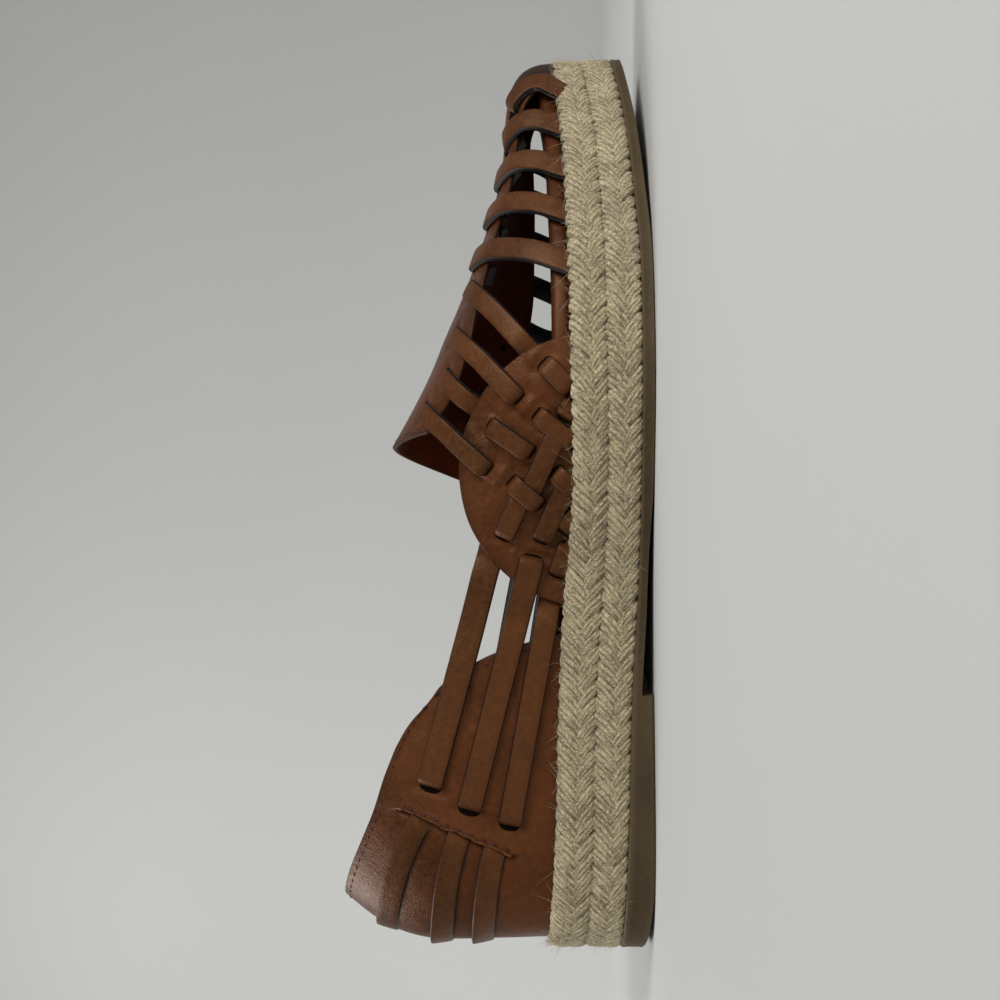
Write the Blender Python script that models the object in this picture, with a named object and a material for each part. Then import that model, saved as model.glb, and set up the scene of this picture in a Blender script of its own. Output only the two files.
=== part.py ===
"""Woven leather flatform espadrille, right shoe.

Frame: +Y from heel to toe, +X to the outer (lateral) side, +Z up, and the
origin under the middle of the heel, on the ground. Sizes are in millimetres
and become metres when a mesh is made.
"""
import math
from collections import namedtuple

import bmesh
import bpy
from mathutils import Vector
from mathutils.bvhtree import BVHTree

METRE = 0.001

# Driving dimensions, in millimetres
GAP = 0.3
OUTSOLE_EDGE_INSET = 0.5
OUTSOLE_EDGE_RISE = 0.6
WAIST_SHEET = 2.5
HEEL_BREAST_Y = 46.0
WAIST_END_Y = 114.0
WRAP_DEPTH = 5.0
WRAP_BULGE = 1.3
UPPER_INSET = 5.4
UPPER_INSET_TOE = 2.3
UPPER_INSET_HEEL = 4.4
FOOT_DROP = 1.2
INSOLE_HEIGHT = 5.6
INSOLE_CROWN = 1.4
INSOLE_DISH = 1.2
INSOLE_INSET = 0.9
STRAP_WIDTH = 6.2
MEDALLION_RADIUS = 36.0
MEDALLION_CENTRE_Y = 104.8
MEDALLION_CENTRE_Z = 14.6
MEDIAL_MEDALLION_SHIFT = 10.0
MEDIAL_COUNTER_SETBACK = 8.0
CUTTER_REACH = 60.0

# Leather layers: inner and outer face, measured out from the last
Layer = namedtuple("Layer", "inner outer")
SPINE_LAYER = Layer(0.0, 1.6)
COUNTER_LAYER = Layer(0.0, 1.7)
MEDALLION_LAYER = Layer(0.1, 1.8)
STRAP_LAYER = Layer(0.3, 2.3)

# Mesh density: spans along and across each piece
RING_POINTS = 76
LAST_RINGS = 26
OUTLINE_STEPS = 12
SPINE_SPANS = (14, 8)
MEDALLION_SPANS = (16, 6)
COUNTER_SPANS = (30, 7)
TOE_STRAP_SPANS = 8
INSTEP_STRAP_SPANS = 6
QUARTER_STRAP_SPANS = 8
HEEL_STRAP_SPANS = 20
SHARP_EDGE = math.radians(40)

# Plan of the platform: half widths at each station from heel to toe
Station = namedtuple("Station", "y lateral medial")
HEEL_END = Station(-30.5, 0.0, 0.0)
TOE_END = Station(230.0, -10.0, -10.0)
PLAN = (
    Station(-26.0, 17.0, -17.0),
    Station(-15.0, 28.0, -27.5),
    Station(5.0, 33.5, -33.0),
    Station(30.0, 33.3, -31.5),
    Station(55.0, 32.0, -28.5),
    Station(80.0, 33.3, -27.5),
    Station(103.0, 39.5, -31.0),
    Station(127.0, 45.8, -38.5),
    Station(148.0, 44.3, -43.5),
    Station(165.0, 39.0, -44.5),
    Station(182.0, 30.0, -42.0),
    Station(200.0, 19.0, -37.5),
    Station(216.0, 6.5, -28.5),
    Station(225.5, -2.0, -18.0),
)

# Side view of the sole: underside, top of the outsole, top of the jute
Level = namedtuple("Level", "y tread outsole wrap")
LEVELS = (
    Level(-30.5, 2.0, 8.6, 28.0),
    Level(-15.0, 0.7, 8.0, 26.9),
    Level(-6.0, 0.0, 7.6, 26.2),
    Level(5.0, 0.0, 7.2, 25.6),
    Level(46.0, 0.0, 5.8, 24.3),
    Level(70.0, 0.0, 4.2, 22.9),
    Level(84.0, 0.0, 3.6, 21.5),
    Level(98.0, 0.0, 3.3, 20.5),
    Level(112.0, 0.0, 3.3, 20.3),
    Level(135.0, 0.0, 3.3, 20.7),
    Level(158.0, 0.0, 3.3, 20.9),
    Level(180.0, 1.0, 4.2, 21.6),
    Level(206.0, 2.8, 5.8, 22.9),
    Level(230.0, 5.6, 8.6, 26.0),
)

# Jute band: height share of one braid's section and how far in it lies
BraidPoint = namedtuple("BraidPoint", "share depth")
BRAID_SECTION = (
    BraidPoint(0.0, WRAP_DEPTH),
    BraidPoint(0.0, WRAP_BULGE),
    BraidPoint(0.22, 0.3),
    BraidPoint(0.5, 0.0),
    BraidPoint(0.78, 0.3),
    BraidPoint(1.0, WRAP_BULGE),
    BraidPoint(1.0, WRAP_DEPTH),
)
LOWER_BRAID = (0.0, 0.485)
UPPER_BRAID = (0.515, 1.0)

# Insole section: height over the platform and distance in from the upper
InsolePoint = namedtuple("InsolePoint", "height depth")
INSOLE_SECTION = (
    InsolePoint(GAP, INSOLE_INSET),
    InsolePoint(INSOLE_HEIGHT - INSOLE_CROWN, INSOLE_INSET),
    InsolePoint(INSOLE_HEIGHT - 0.4, INSOLE_INSET + 0.6),
    InsolePoint(INSOLE_HEIGHT, INSOLE_INSET + 2.4),
    InsolePoint(INSOLE_HEIGHT, INSOLE_INSET + 11.0),
)

# Crown line of the last: the height that the upper's sections reach
Crown = namedtuple("Crown", "y x z")
CROWN = (
    Crown(8.0, 0.0, 108.0),
    Crown(40.0, 0.0, 104.0),
    Crown(70.0, 1.0, 96.0),
    Crown(95.0, 1.0, 82.5),
    Crown(112.0, 0.0, 73.0),
    Crown(127.0, -1.0, 64.5),
    Crown(143.0, -3.0, 57.0),
    Crown(159.0, -5.0, 50.0),
    Crown(177.0, -7.0, 43.5),
    Crown(193.0, -9.0, 39.8),
    Crown(207.0, -10.0, 38.5),
)

# Heel wall: share of the half width left at each share of the last's height
Wall = namedtuple("Wall", "rise width")
HEEL_WALL = (
    Wall(0.0, 1.0),
    Wall(0.2, 1.02),
    Wall(0.38, 1.03),
    Wall(0.57, 0.93),
    Wall(0.76, 0.63),
    Wall(1.0, 0.0),
)
FORE_WALL_POWER = 2.1
TOE_WALL_POWER = 3.0

# Vamp spine: its two long edges, from the tongue end to the toe
Spine = namedtuple("Spine", "lateral_y lateral_z medial_y medial_z")
SPINE = (
    Spine(116.5, 60.0, 104.0, 54.0),
    Spine(124.0, 53.8, 116.0, 49.5),
    Spine(134.0, 49.3, 128.0, 43.4),
    Spine(151.0, 45.6, 148.0, 35.6),
    Spine(163.0, 42.8, 162.0, 32.8),
    Spine(174.0, 40.5, 176.0, 32.2),
    Spine(187.0, 37.0, 190.0, 31.8),
    Spine(204.0, 35.0, 204.0, 32.0),
)
TONGUE_BOW = 2.2
SPINE_TOE_PITCHES = (20.0, 38.0, 55.0, 72.0, 92.5)
SPINE_TOE_SPREAD = 34.0

LEAN_RISE = 17.7
# Toe straps: where each stands on the sole at both sides, how far round the last
# it climbs, in degrees from the sole to the crown, and how far it leans to the toe
# by the crown, most of it low down
ToeStrap = namedtuple("ToeStrap", "lateral_y medial_y lateral_turn medial_turn back")
TOE_STRAPS = (
    ToeStrap(158.6, 162.4, 67.0, 70.0, 7.9),
    ToeStrap(173.2, 176.0, 68.0, 67.0, 8.1),
    ToeStrap(187.0, 188.8, 68.0, 68.0, 8.6),
    ToeStrap(201.0, 200.4, 66.0, 64.0, 9.6),
    ToeStrap(214.0, 212.6, 58.0, 58.0, 17.0),
)

# Straps of each side drawn in side view, from their start to their end
LATERAL = 1
MEDIAL = -1
SideStrap = namedtuple("SideStrap", "side start_y start_z end_y end_z")
INSTEP_STRAPS = (
    SideStrap(LATERAL, 157.0, 48.4, 134.0, 29.9),
    SideStrap(LATERAL, 144.0, 53.0, 124.3, 34.4),
    SideStrap(LATERAL, 132.4, 55.4, 117.5, 41.8),
    SideStrap(LATERAL, 122.9, 61.0, 106.1, 42.9),
    SideStrap(MEDIAL, 157.6, 41.0, 149.4, 26.0),
    SideStrap(MEDIAL, 147.5, 43.0, 134.3, 34.4),
    SideStrap(MEDIAL, 132.5, 60.5, 128.5, 41.8),
    SideStrap(MEDIAL, 124.5, 54.0, 116.1, 42.9),
)
QUARTER_STRAPS = (
    SideStrap(LATERAL, 88.0, 42.2, 21.0, 59.8),
    SideStrap(LATERAL, 83.2, 31.8, 15.0, 49.5),
    SideStrap(LATERAL, 77.0, 26.3, 11.0, 38.7),
    SideStrap(MEDIAL, 96.0, 43.0, 21.0, 62.6),
    SideStrap(MEDIAL, 91.0, 33.6, 15.0, 48.8),
    SideStrap(MEDIAL, 86.0, 26.0, 11.0, 38.4),
)

# Heel counter: its front edge from the sole up, and its topline to the back
Edge = namedtuple("Edge", "y z")
COUNTER_FRONT = (
    Edge(62.0, 24.0), Edge(56.5, 42.0), Edge(53.0, 49.0), Edge(47.7, 56.8), Edge(43.4, 60.4),
)
TOPLINE = (
    Edge(-18.0, 87.2), Edge(-12.0, 85.2), Edge(-4.2, 82.6), Edge(3.0, 79.6), Edge(13.8, 75.1),
    Edge(24.0, 71.7), Edge(30.6, 69.1), Edge(34.5, 67.4), Edge(40.7, 62.7), Edge(43.4, 60.4),
)
HEEL_AXIS_Y = 12.0
HEEL_RADIUS = 40.0
HEEL_STRAP_EASE = 0.8

# Straps that wrap the counter: height at the slit on each side and at the back
HeelStrap = namedtuple("HeelStrap", "slit_y slit_z back_z")
HEEL_STRAPS = (
    HeelStrap(12.0, 62.0, 74.0),
    HeelStrap(8.5, 52.0, 59.0),
    HeelStrap(5.0, 42.5, 47.5),
)

# Underside of the waist: the arch from the heel breast to the ball
WAIST_ARCH = (Edge(84.0, 1.25), Edge(98.0, 0.45), Edge(WAIST_END_Y, -0.2))
WAIST_SHEET_END_Y = 66.0
CUTTER_DEPTH = 6.0


# Curves

def interpolate(rows, key, value, at):
    """Value of one column at a position along another, smooth and with no overshoot."""
    keys = [getattr(row, key) for row in rows]
    values = [getattr(row, value) for row in rows]
    if at <= keys[0]:
        return values[0]
    if at >= keys[-1]:
        return values[-1]
    i = max(j for j in range(len(keys) - 1) if keys[j] <= at)
    span = keys[i + 1] - keys[i]
    t = (at - keys[i]) / span

    def slope(j):
        if j == 0 or j == len(keys) - 1:
            low = min(max(j - 1, 0), len(keys) - 2)
            return (values[low + 1] - values[low]) / (keys[low + 1] - keys[low])
        if (values[j + 1] - values[j]) * (values[j] - values[j - 1]) <= 0:
            return 0.0
        return (values[j + 1] - values[j - 1]) / (keys[j + 1] - keys[j - 1])

    a = slope(i) * span
    b = slope(i + 1) * span
    rise = values[i + 1] - values[i]
    return values[i] + t * (a + t * (3 * rise - 2 * a - b + t * (a + b - 2 * rise)))


def closed_spline(points, steps):
    """Catmull-Rom curve through a closed loop of points."""
    curve = []
    count = len(points)
    for i in range(count):
        p0, p1, p2, p3 = (points[(i + k - 1) % count] for k in range(4))
        for step in range(steps):
            t = step / steps
            curve.append(0.5 * (2 * p1 + (p2 - p0) * t + (2 * p0 - 5 * p1 + 4 * p2 - p3) * t * t
                                + (3 * p1 - p0 - 3 * p2 + p3) * t ** 3))
    return curve


def resample(points, count, closed):
    """Points at equal distances along a line of points."""
    loop = points + points[:1] if closed else points
    lengths = [0.0]
    for a, b in zip(loop, loop[1:]):
        lengths.append(lengths[-1] + (b - a).length)
    total = lengths[-1]
    result = []
    segment = 0
    for i in range(count):
        target = total * i / (count if closed else count - 1)
        while segment < len(loop) - 2 and lengths[segment + 1] < target:
            segment += 1
        span = lengths[segment + 1] - lengths[segment]
        t = (target - lengths[segment]) / span if span else 0.0
        result.append(loop[segment].lerp(loop[segment + 1], t))
    return result


def smooth_step(start, end, value):
    """Rises smoothly from 0 at the start to 1 at the end, whichever is larger."""
    t = min(max((value - start) / (end - start), 0.0), 1.0)
    return t * t * (3 - 2 * t)


# The sole's outline and levels

def platform_outline(count):
    """Outer edge of the platform from the back of the heel, lateral side first."""
    points = [Vector((HEEL_END.lateral, HEEL_END.y, 0.0))]
    points += [Vector((row.lateral, row.y, 0.0)) for row in PLAN]
    points.append(Vector((TOE_END.lateral, TOE_END.y, 0.0)))
    points += [Vector((row.medial, row.y, 0.0)) for row in reversed(PLAN)]
    return resample(closed_spline(points, OUTLINE_STEPS), count, True)


def inset(outline, distance):
    """Outline moved inwards; distance is a number or a function of y."""
    count = len(outline)
    result = []
    for i, point in enumerate(outline):
        along = (outline[(i + 1) % count] - outline[i - 1]).normalized()
        inward = Vector((-along.y, along.x, 0.0))
        depth = distance(point.y) if callable(distance) else distance
        result.append(point + inward * depth)
    return result


def tread(y):
    return interpolate(LEVELS, "y", "tread", y)


def outsole_top(y):
    return interpolate(LEVELS, "y", "outsole", y)


def wrap_top(y):
    return interpolate(LEVELS, "y", "wrap", y)


def upper_inset(y):
    toe = (UPPER_INSET_TOE - UPPER_INSET) * smooth_step(190.0, 226.0, y)
    heel = (UPPER_INSET_HEEL - UPPER_INSET) * smooth_step(15.0, -25.0, y)
    return UPPER_INSET + toe + heel


# The last

def wall_width(rise, y):
    """Share of the half width that is left at a share of the last's height."""
    power = FORE_WALL_POWER + (TOE_WALL_POWER - FORE_WALL_POWER) * smooth_step(203.0, 225.0, y)
    fore = max(1.0 - max(rise, 0.0) ** power, 0.0) ** (1.0 / power)
    heel = interpolate(HEEL_WALL, "rise", "width", rise)
    return heel + (fore - heel) * smooth_step(35.0, 130.0, y)


def crown_above(foot):
    """Crown point that the wall above a point of the outline rises to."""
    share = (foot.y - HEEL_END.y - UPPER_INSET) / (TOE_END.y - HEEL_END.y - 2 * UPPER_INSET)
    y = CROWN[0].y + (CROWN[-1].y - CROWN[0].y) * min(max(share, 0.0), 1.0)
    return Vector((interpolate(CROWN, "y", "x", y), y, interpolate(CROWN, "y", "z", y)))


def last_point(foot, rise):
    """Point of the last above a point of its base outline."""
    crown_x, crown_y, crown_z = crown_above(foot)
    base_z = wrap_top(foot.y)
    width = wall_width(rise, foot.y)
    return Vector((
        crown_x + (foot.x - crown_x) * width,
        crown_y + (foot.y - crown_y) * width,
        base_z + (crown_z - base_z) * rise,
    ))


FEET = inset(platform_outline(3 * RING_POINTS), upper_inset)


def foot_at(y, side):
    """Point of the last's base outline at a distance along the shoe."""
    half = FEET[:len(FEET) // 2] if side == LATERAL else FEET[:len(FEET) // 2 - 1:-1]
    i = next(k for k in range(1, len(half)) if half[k].y >= y)
    t = (y - half[i - 1].y) / (half[i].y - half[i - 1].y)
    return half[i - 1].lerp(half[i], t)


def make_last():
    """The last as a surface that rays are cast at."""
    points = [Vector((foot.x, foot.y, wrap_top(foot.y) - CUTTER_DEPTH)) for foot in FEET]
    for i in range(LAST_RINGS + 1):
        rise = math.sin(math.pi / 2 * i / LAST_RINGS)
        points += [last_point(foot, rise) for foot in FEET]
    count = len(FEET)
    faces = []
    for ring in range(LAST_RINGS + 1):
        for i in range(count):
            j = (i + 1) % count
            faces.append((ring * count + i, ring * count + j,
                          (ring + 1) * count + j, (ring + 1) * count + i))
    return BVHTree.FromPolygons(points, faces)


LAST = make_last()


def crown_x(y):
    return interpolate(CROWN, "y", "x", y)


def wall_point(foot, rise):
    """Point and normal straight up the last from a point of its outline."""
    point = last_point(foot, rise)
    return point, LAST.find_nearest(point)[1]


def on_last(origin, direction):
    """Point and outward normal where a ray from inside leaves the last."""
    unit = direction.normalized()
    point, normal, _, _ = LAST.ray_cast(origin, unit)
    if point is None:
        raise ValueError(f"the ray from {origin} misses the last")
    if normal.dot(unit) < 0:
        normal = -normal
    return point, normal


def side_point(y, z, side):
    """Point of the last that side view shows at y and z."""
    return on_last(Vector((crown_x(y), y, z)), Vector((side, 0.0, 0.0)))


def fan_point(y, pitch, angle):
    """Point on the crown side of the last, by a ray from its base."""
    origin = Vector((crown_x(y), y, wrap_top(y)))
    direction = Vector((
        math.sin(angle),
        math.cos(angle) * math.sin(pitch),
        math.cos(angle) * math.cos(pitch),
    ))
    return on_last(origin, direction)


def heel_point(angle, z):
    """Point round the heel; the angle is 0 at the back and grows to the side."""
    direction = Vector((math.sin(angle), -math.cos(angle), 0.0))
    return on_last(Vector((0.0, HEEL_AXIS_Y, z)), direction)


# Meshes

def new_object(name, points, faces, material=None):
    mesh = bpy.data.meshes.new(name)
    mesh.from_pydata([point * METRE for point in points], [], faces)
    work = bmesh.new()
    work.from_mesh(mesh)
    bmesh.ops.recalc_face_normals(work, faces=work.faces)
    bmesh.ops.triangulate(work, faces=work.faces, quad_method="SHORT_EDGE")
    work.to_mesh(mesh)
    work.free()
    mesh.shade_smooth()
    mesh.set_sharp_from_angle(angle=SHARP_EDGE)
    thing = bpy.data.objects.new(name, mesh)
    bpy.context.scene.collection.objects.link(thing)
    if material:
        mesh.materials.append(material)
    return thing


def hide_from_build(thing):
    """Marks a cutter or a piece that is joined to another."""
    thing.hide_render = True
    thing.display_type = "WIRE"


def new_material(name, colour, roughness):
    material = bpy.data.materials.new(name)
    material.use_nodes = True
    shader = material.node_tree.nodes["Principled BSDF"]
    shader.inputs["Base Color"].default_value = (*colour, 1.0)
    shader.inputs["Roughness"].default_value = roughness
    shader.inputs["Metallic"].default_value = 0.0
    return material


def ladder_cap(count, offset, flip):
    """Faces that close a ring of points by rungs from its lateral to its medial half."""
    faces = []
    for i in range(count // 2):
        a, b = i, i + 1
        c, d = (count - i - 1) % count, (count - i) % count
        face = tuple(dict.fromkeys((offset + a, offset + b, offset + c, offset + d)))
        faces.append(face[::-1] if flip else face)
    return faces


def stack(name, rings, material=None):
    """Closed solid through rings of equal length, capped at both ends."""
    count = len(rings[0])
    points = [point for ring in rings for point in ring]
    faces = ladder_cap(count, 0, True)
    for level in range(len(rings) - 1):
        low, high = level * count, (level + 1) * count
        for i in range(count):
            j = (i + 1) % count
            faces.append((low + i, low + j, high + j, high + i))
    faces += ladder_cap(count, (len(rings) - 1) * count, False)
    return new_object(name, points, faces, material)


def hoop(name, rings, material):
    """Closed ring-shaped solid: the last ring joins the first."""
    count = len(rings[0])
    points = [point for ring in rings for point in ring]
    faces = []
    for level in range(len(rings)):
        low, high = level * count, ((level + 1) % len(rings)) * count
        for i in range(count):
            j = (i + 1) % count
            faces.append((low + i, low + j, high + j, high + i))
    return new_object(name, points, faces, material)


def at_height(outline, height):
    """Outline lifted to a height that may change along the shoe."""
    return [Vector((point.x, point.y, height(point.y))) for point in outline]


def sheet_solid(name, grid, layer):
    """Closed solid between two offsets of a grid of points with normals."""
    rows, columns = len(grid), len(grid[0])
    points = [point + normal * layer.inner for row in grid for point, normal in row]
    points += [point + normal * layer.outer for row in grid for point, normal in row]
    half = rows * columns
    faces = []
    for r in range(rows - 1):
        for c in range(columns - 1):
            a = r * columns + c
            quad = (a, a + 1, a + columns + 1, a + columns)
            faces.append(quad)
            faces.append(tuple(half + k for k in reversed(quad)))
    rim = list(range(columns))
    rim += [r * columns + columns - 1 for r in range(1, rows)]
    rim += [(rows - 1) * columns + c for c in range(columns - 2, -1, -1)]
    rim += [r * columns for r in range(rows - 2, 0, -1)]
    for a, b in zip(rim, rim[1:] + rim[:1]):
        faces.append((a, half + a, half + b, b))
    return new_object(name, points, faces)


def strap_solid(name, path):
    """Strap along a path of points with normals."""
    grid = []
    for i, (point, normal) in enumerate(path):
        before = path[max(i - 1, 0)][0]
        after = path[min(i + 1, len(path) - 1)][0]
        across = (after - before).cross(normal).normalized() * STRAP_WIDTH / 2
        grid.append([(point - across, normal), (point + across, normal)])
    return sheet_solid(name, grid, STRAP_LAYER)


# Sole pieces

def make_outsole(material):
    outline = platform_outline(RING_POINTS)
    bottom = at_height(inset(outline, OUTSOLE_EDGE_INSET), tread)
    low = at_height(outline, lambda y: tread(y) + OUTSOLE_EDGE_RISE)
    top = at_height(outline, outsole_top)
    outsole = stack("outsole", [bottom, low, top], material)
    cut = outsole.modifiers.new("waist", "BOOLEAN")
    cut.operation = "DIFFERENCE"
    cut.object = waist_cutter()
    return outsole


def waist_cutter():
    """Solid whose top is the arched underside between heel breast and ball."""
    sheet = [Edge(y, outsole_top(y) - WAIST_SHEET) for y in (HEEL_BREAST_Y, WAIST_SHEET_END_Y)]
    profile = [Edge(HEEL_BREAST_Y, -CUTTER_DEPTH), *sheet, *WAIST_ARCH, Edge(WAIST_END_Y, -CUTTER_DEPTH)]
    points = [Vector((x, edge.y, edge.z)) for x in (-CUTTER_REACH, CUTTER_REACH) for edge in profile]
    count = len(profile)
    faces = [tuple(range(count)), tuple(range(2 * count - 1, count - 1, -1))]
    for i in range(count):
        j = (i + 1) % count
        faces.append((i, j, count + j, count + i))
    cutter = new_object("waist_cutter", points, faces)
    hide_from_build(cutter)
    return cutter


def make_jute(name, band, material):
    """One ring of braid, round on its outer face, between two shares of the band."""
    outline = platform_outline(RING_POINTS)
    low_share, high_share = band

    def level(share):
        def height(y):
            low = outsole_top(y) + GAP
            return low + (wrap_top(y) - low) * (low_share + (high_share - low_share) * share)
        return height

    rings = [at_height(inset(outline, row.depth), level(row.share)) for row in BRAID_SECTION]
    return hoop(name, rings, material)


def make_midsole(material):
    outline = inset(platform_outline(RING_POINTS), WRAP_DEPTH + GAP)
    low = at_height(outline, lambda y: outsole_top(y) + GAP)
    high = at_height(outline, wrap_top)
    return stack("midsole", [low, high], material)


def inside_last(height, clearance):
    """Ring just inside the upper's wall at a height above the platform."""
    feet = inset(platform_outline(RING_POINTS), upper_inset)
    ring = []
    for foot in feet:
        rise = height / (crown_above(foot).z - wrap_top(foot.y))
        ring.append(last_point(foot, rise))
    return [Vector((point.x, point.y, wrap_top(foot.y) + height))
            for point, foot in zip(inset(ring, clearance), feet)]


def make_insole(material):
    """Padded footbed with a rounded edge and a shallow dish at the heel."""
    rings = [inside_last(row.height, row.depth) for row in INSOLE_SECTION]
    for point in rings[-1]:
        point.z -= INSOLE_DISH * (1.0 - smooth_step(20.0, 70.0, point.y))
    return stack("insole", rings, material)


# Upper pieces

def fan_angle(y, z, side):
    """Angle from straight up, seen along the shoe, of a point drawn in side view."""
    point, _ = side_point(y, z, side)
    return math.atan2(point.x - crown_x(y), point.z - wrap_top(y))


def spine_grid():
    """Rows across the vamp from the tongue end to the toe, then down its front."""
    rows, columns = SPINE_SPANS
    grid = []
    for r in range(rows + 1):
        share = r / rows * (len(SPINE) - 1)
        low = min(int(share), len(SPINE) - 2)
        edge = Spine(*(a + (b - a) * (share - low) for a, b in zip(SPINE[low], SPINE[low + 1])))
        start = fan_angle(edge.lateral_y, edge.lateral_z, LATERAL)
        end = fan_angle(edge.medial_y, edge.medial_z, MEDIAL)
        row = []
        for c in range(columns + 1):
            across = c / columns
            bow = TONGUE_BOW * math.sin(math.pi * across) * max(1.0 - share, 0.0)
            y = edge.lateral_y + (edge.medial_y - edge.lateral_y) * across + bow
            row.append(fan_point(y, 0.0, start + (end - start) * across))
        grid.append(row)
    spread = math.radians(SPINE_TOE_SPREAD)
    for pitch in SPINE_TOE_PITCHES:
        share = pitch / SPINE_TOE_PITCHES[-1]
        row = []
        for c in range(columns + 1):
            across = c / columns
            wide = start + (end - start) * across
            narrow = spread * (1 - 2 * across)
            angle = wide + (narrow - wide) * share
            row.append(fan_point(SPINE[-1].lateral_y, math.radians(pitch), angle))
        grid.append(row)
    return grid


def toe_strap_path(strap, side):
    """From the sole up the side and a little way over the spine."""
    lateral = side == LATERAL
    foot_y = strap.lateral_y if lateral else strap.medial_y
    reach = math.radians(strap.lateral_turn if lateral else strap.medial_turn)
    foot = foot_at(foot_y, side)
    low = -FOOT_DROP / (crown_above(foot).z - wrap_top(foot.y))
    path = [wall_point(foot, low)]
    for i in range(1, TOE_STRAP_SPANS + 1):
        rise = math.sin(reach * i / TOE_STRAP_SPANS)
        lean = LEAN_RISE * rise - strap.back * rise ** 2
        path.append(wall_point(foot_at(foot_y + lean, side), rise))
    return path


def side_strap_path(strap, steps):
    """Along the straight line that side view shows, on the last."""
    path = []
    for i in range(steps + 1):
        t = i / steps
        y = strap.start_y + (strap.end_y - strap.start_y) * t
        z = strap.start_z + (strap.end_z - strap.start_z) * t
        path.append(side_point(y, z, strap.side))
    return path


def medallion_grid(side):
    """Half-round side piece: columns along the sole, rows up to its arc."""
    columns, rows = MEDALLION_SPANS
    centre = MEDALLION_CENTRE_Y + (0.0 if side == LATERAL else MEDIAL_MEDALLION_SHIFT)
    half = math.sqrt(MEDALLION_RADIUS ** 2 - (wrap_top(centre) - MEDALLION_CENTRE_Z) ** 2)
    grid = []
    for c in range(columns + 1):
        y = centre - half * math.cos(math.pi * c / columns)
        reach = max(MEDALLION_RADIUS ** 2 - (y - centre) ** 2, 0.0)
        low = wrap_top(y) - FOOT_DROP
        high = max(MEDALLION_CENTRE_Z + math.sqrt(reach), low + 2 * FOOT_DROP)
        grid.append([side_point(y, low + (high - low) * r / rows, side) for r in range(rows + 1)])
    return grid


def counter_setback(side):
    return 0.0 if side == LATERAL else MEDIAL_COUNTER_SETBACK


def counter_front_y(z, side):
    return interpolate(COUNTER_FRONT, "z", "y", z) - counter_setback(side)


def counter_grid():
    """Columns round the heel from lateral to medial, rows from sole to topline."""
    columns, rows = COUNTER_SPANS
    grid = []
    for c in range(columns + 1):
        turn = 1 - 2 * c / columns
        grid.append([counter_point(turn, r / rows) for r in range(rows + 1)])
    return grid


def counter_point(turn, rise):
    """Point of the counter; turn runs from 1 at the lateral front to -1 at the medial one."""
    side = LATERAL if turn >= 0 else MEDIAL
    corner = TOPLINE[-1].z
    base = wrap_top(HEEL_AXIS_Y - HEEL_RADIUS * math.cos(turn * math.pi / 2)) - FOOT_DROP
    z_front = base + (corner - base) * rise
    front, _ = side_point(counter_front_y(z_front, side), z_front, side)
    reach = math.atan2(abs(front.x), HEEL_AXIS_Y - front.y)
    top = corner
    for _ in range(3):
        edge_y = heel_point(reach * turn, top)[0].y + counter_setback(side) * abs(turn)
        top = interpolate(TOPLINE, "y", "z", edge_y)
    return heel_point(reach * turn, base + (top - base) * rise)


def heel_strap_path(strap):
    """Round the heel from the lateral slit to the medial one."""
    slit, _ = side_point(strap.slit_y, strap.slit_z, LATERAL)
    reach = math.atan2(slit.x, HEEL_AXIS_Y - slit.y)
    path = []
    for i in range(HEEL_STRAP_SPANS + 1):
        turn = 1 - 2 * i / HEEL_STRAP_SPANS
        lift = math.cos(turn * math.pi / 2) ** HEEL_STRAP_EASE
        z = strap.slit_z + (strap.back_z - strap.slit_z) * lift
        path.append(heel_point(reach * turn, z))
    return path


def platform_trimmer():
    """Solid that cuts every strap and panel a gap above the platform."""
    outline = inset(platform_outline(RING_POINTS), -UPPER_INSET)
    low = at_height(outline, lambda y: wrap_top(y) - CUTTER_DEPTH)
    high = at_height(outline, lambda y: wrap_top(y) + GAP)
    trimmer = stack("platform_trimmer", [low, high])
    hide_from_build(trimmer)
    return trimmer


def make_side_pieces():
    """Medallions, toe straps, instep straps and quarter straps of both sides."""
    pieces = []
    for side in (LATERAL, MEDIAL):
        pieces.append(sheet_solid("medallion", medallion_grid(side), MEDALLION_LAYER))
        for strap in TOE_STRAPS:
            pieces.append(strap_solid("toe_strap", toe_strap_path(strap, side)))
    for strap in INSTEP_STRAPS:
        pieces.append(strap_solid("instep_strap", side_strap_path(strap, INSTEP_STRAP_SPANS)))
    for strap in QUARTER_STRAPS:
        pieces.append(strap_solid("quarter_strap", side_strap_path(strap, QUARTER_STRAP_SPANS)))
    return pieces


def make_upper(material):
    """Spine with every panel and strap joined to it as one walled solid."""
    upper = sheet_solid("upper", spine_grid(), SPINE_LAYER)
    upper.data.materials.append(material)
    pieces = [sheet_solid("counter", counter_grid(), COUNTER_LAYER)]
    pieces += make_side_pieces()
    pieces += [strap_solid("heel_strap", heel_strap_path(strap)) for strap in HEEL_STRAPS]
    parts = bpy.data.collections.new("upper_parts")
    bpy.context.scene.collection.children.link(parts)
    for piece in pieces:
        bpy.context.scene.collection.objects.unlink(piece)
        parts.objects.link(piece)
        hide_from_build(piece)
    join = upper.modifiers.new("join", "BOOLEAN")
    join.operation = "UNION"
    join.operand_type = "COLLECTION"
    join.collection = parts
    cut = upper.modifiers.new("foot", "BOOLEAN")
    cut.operation = "DIFFERENCE"
    cut.object = platform_trimmer()
    return upper


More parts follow.
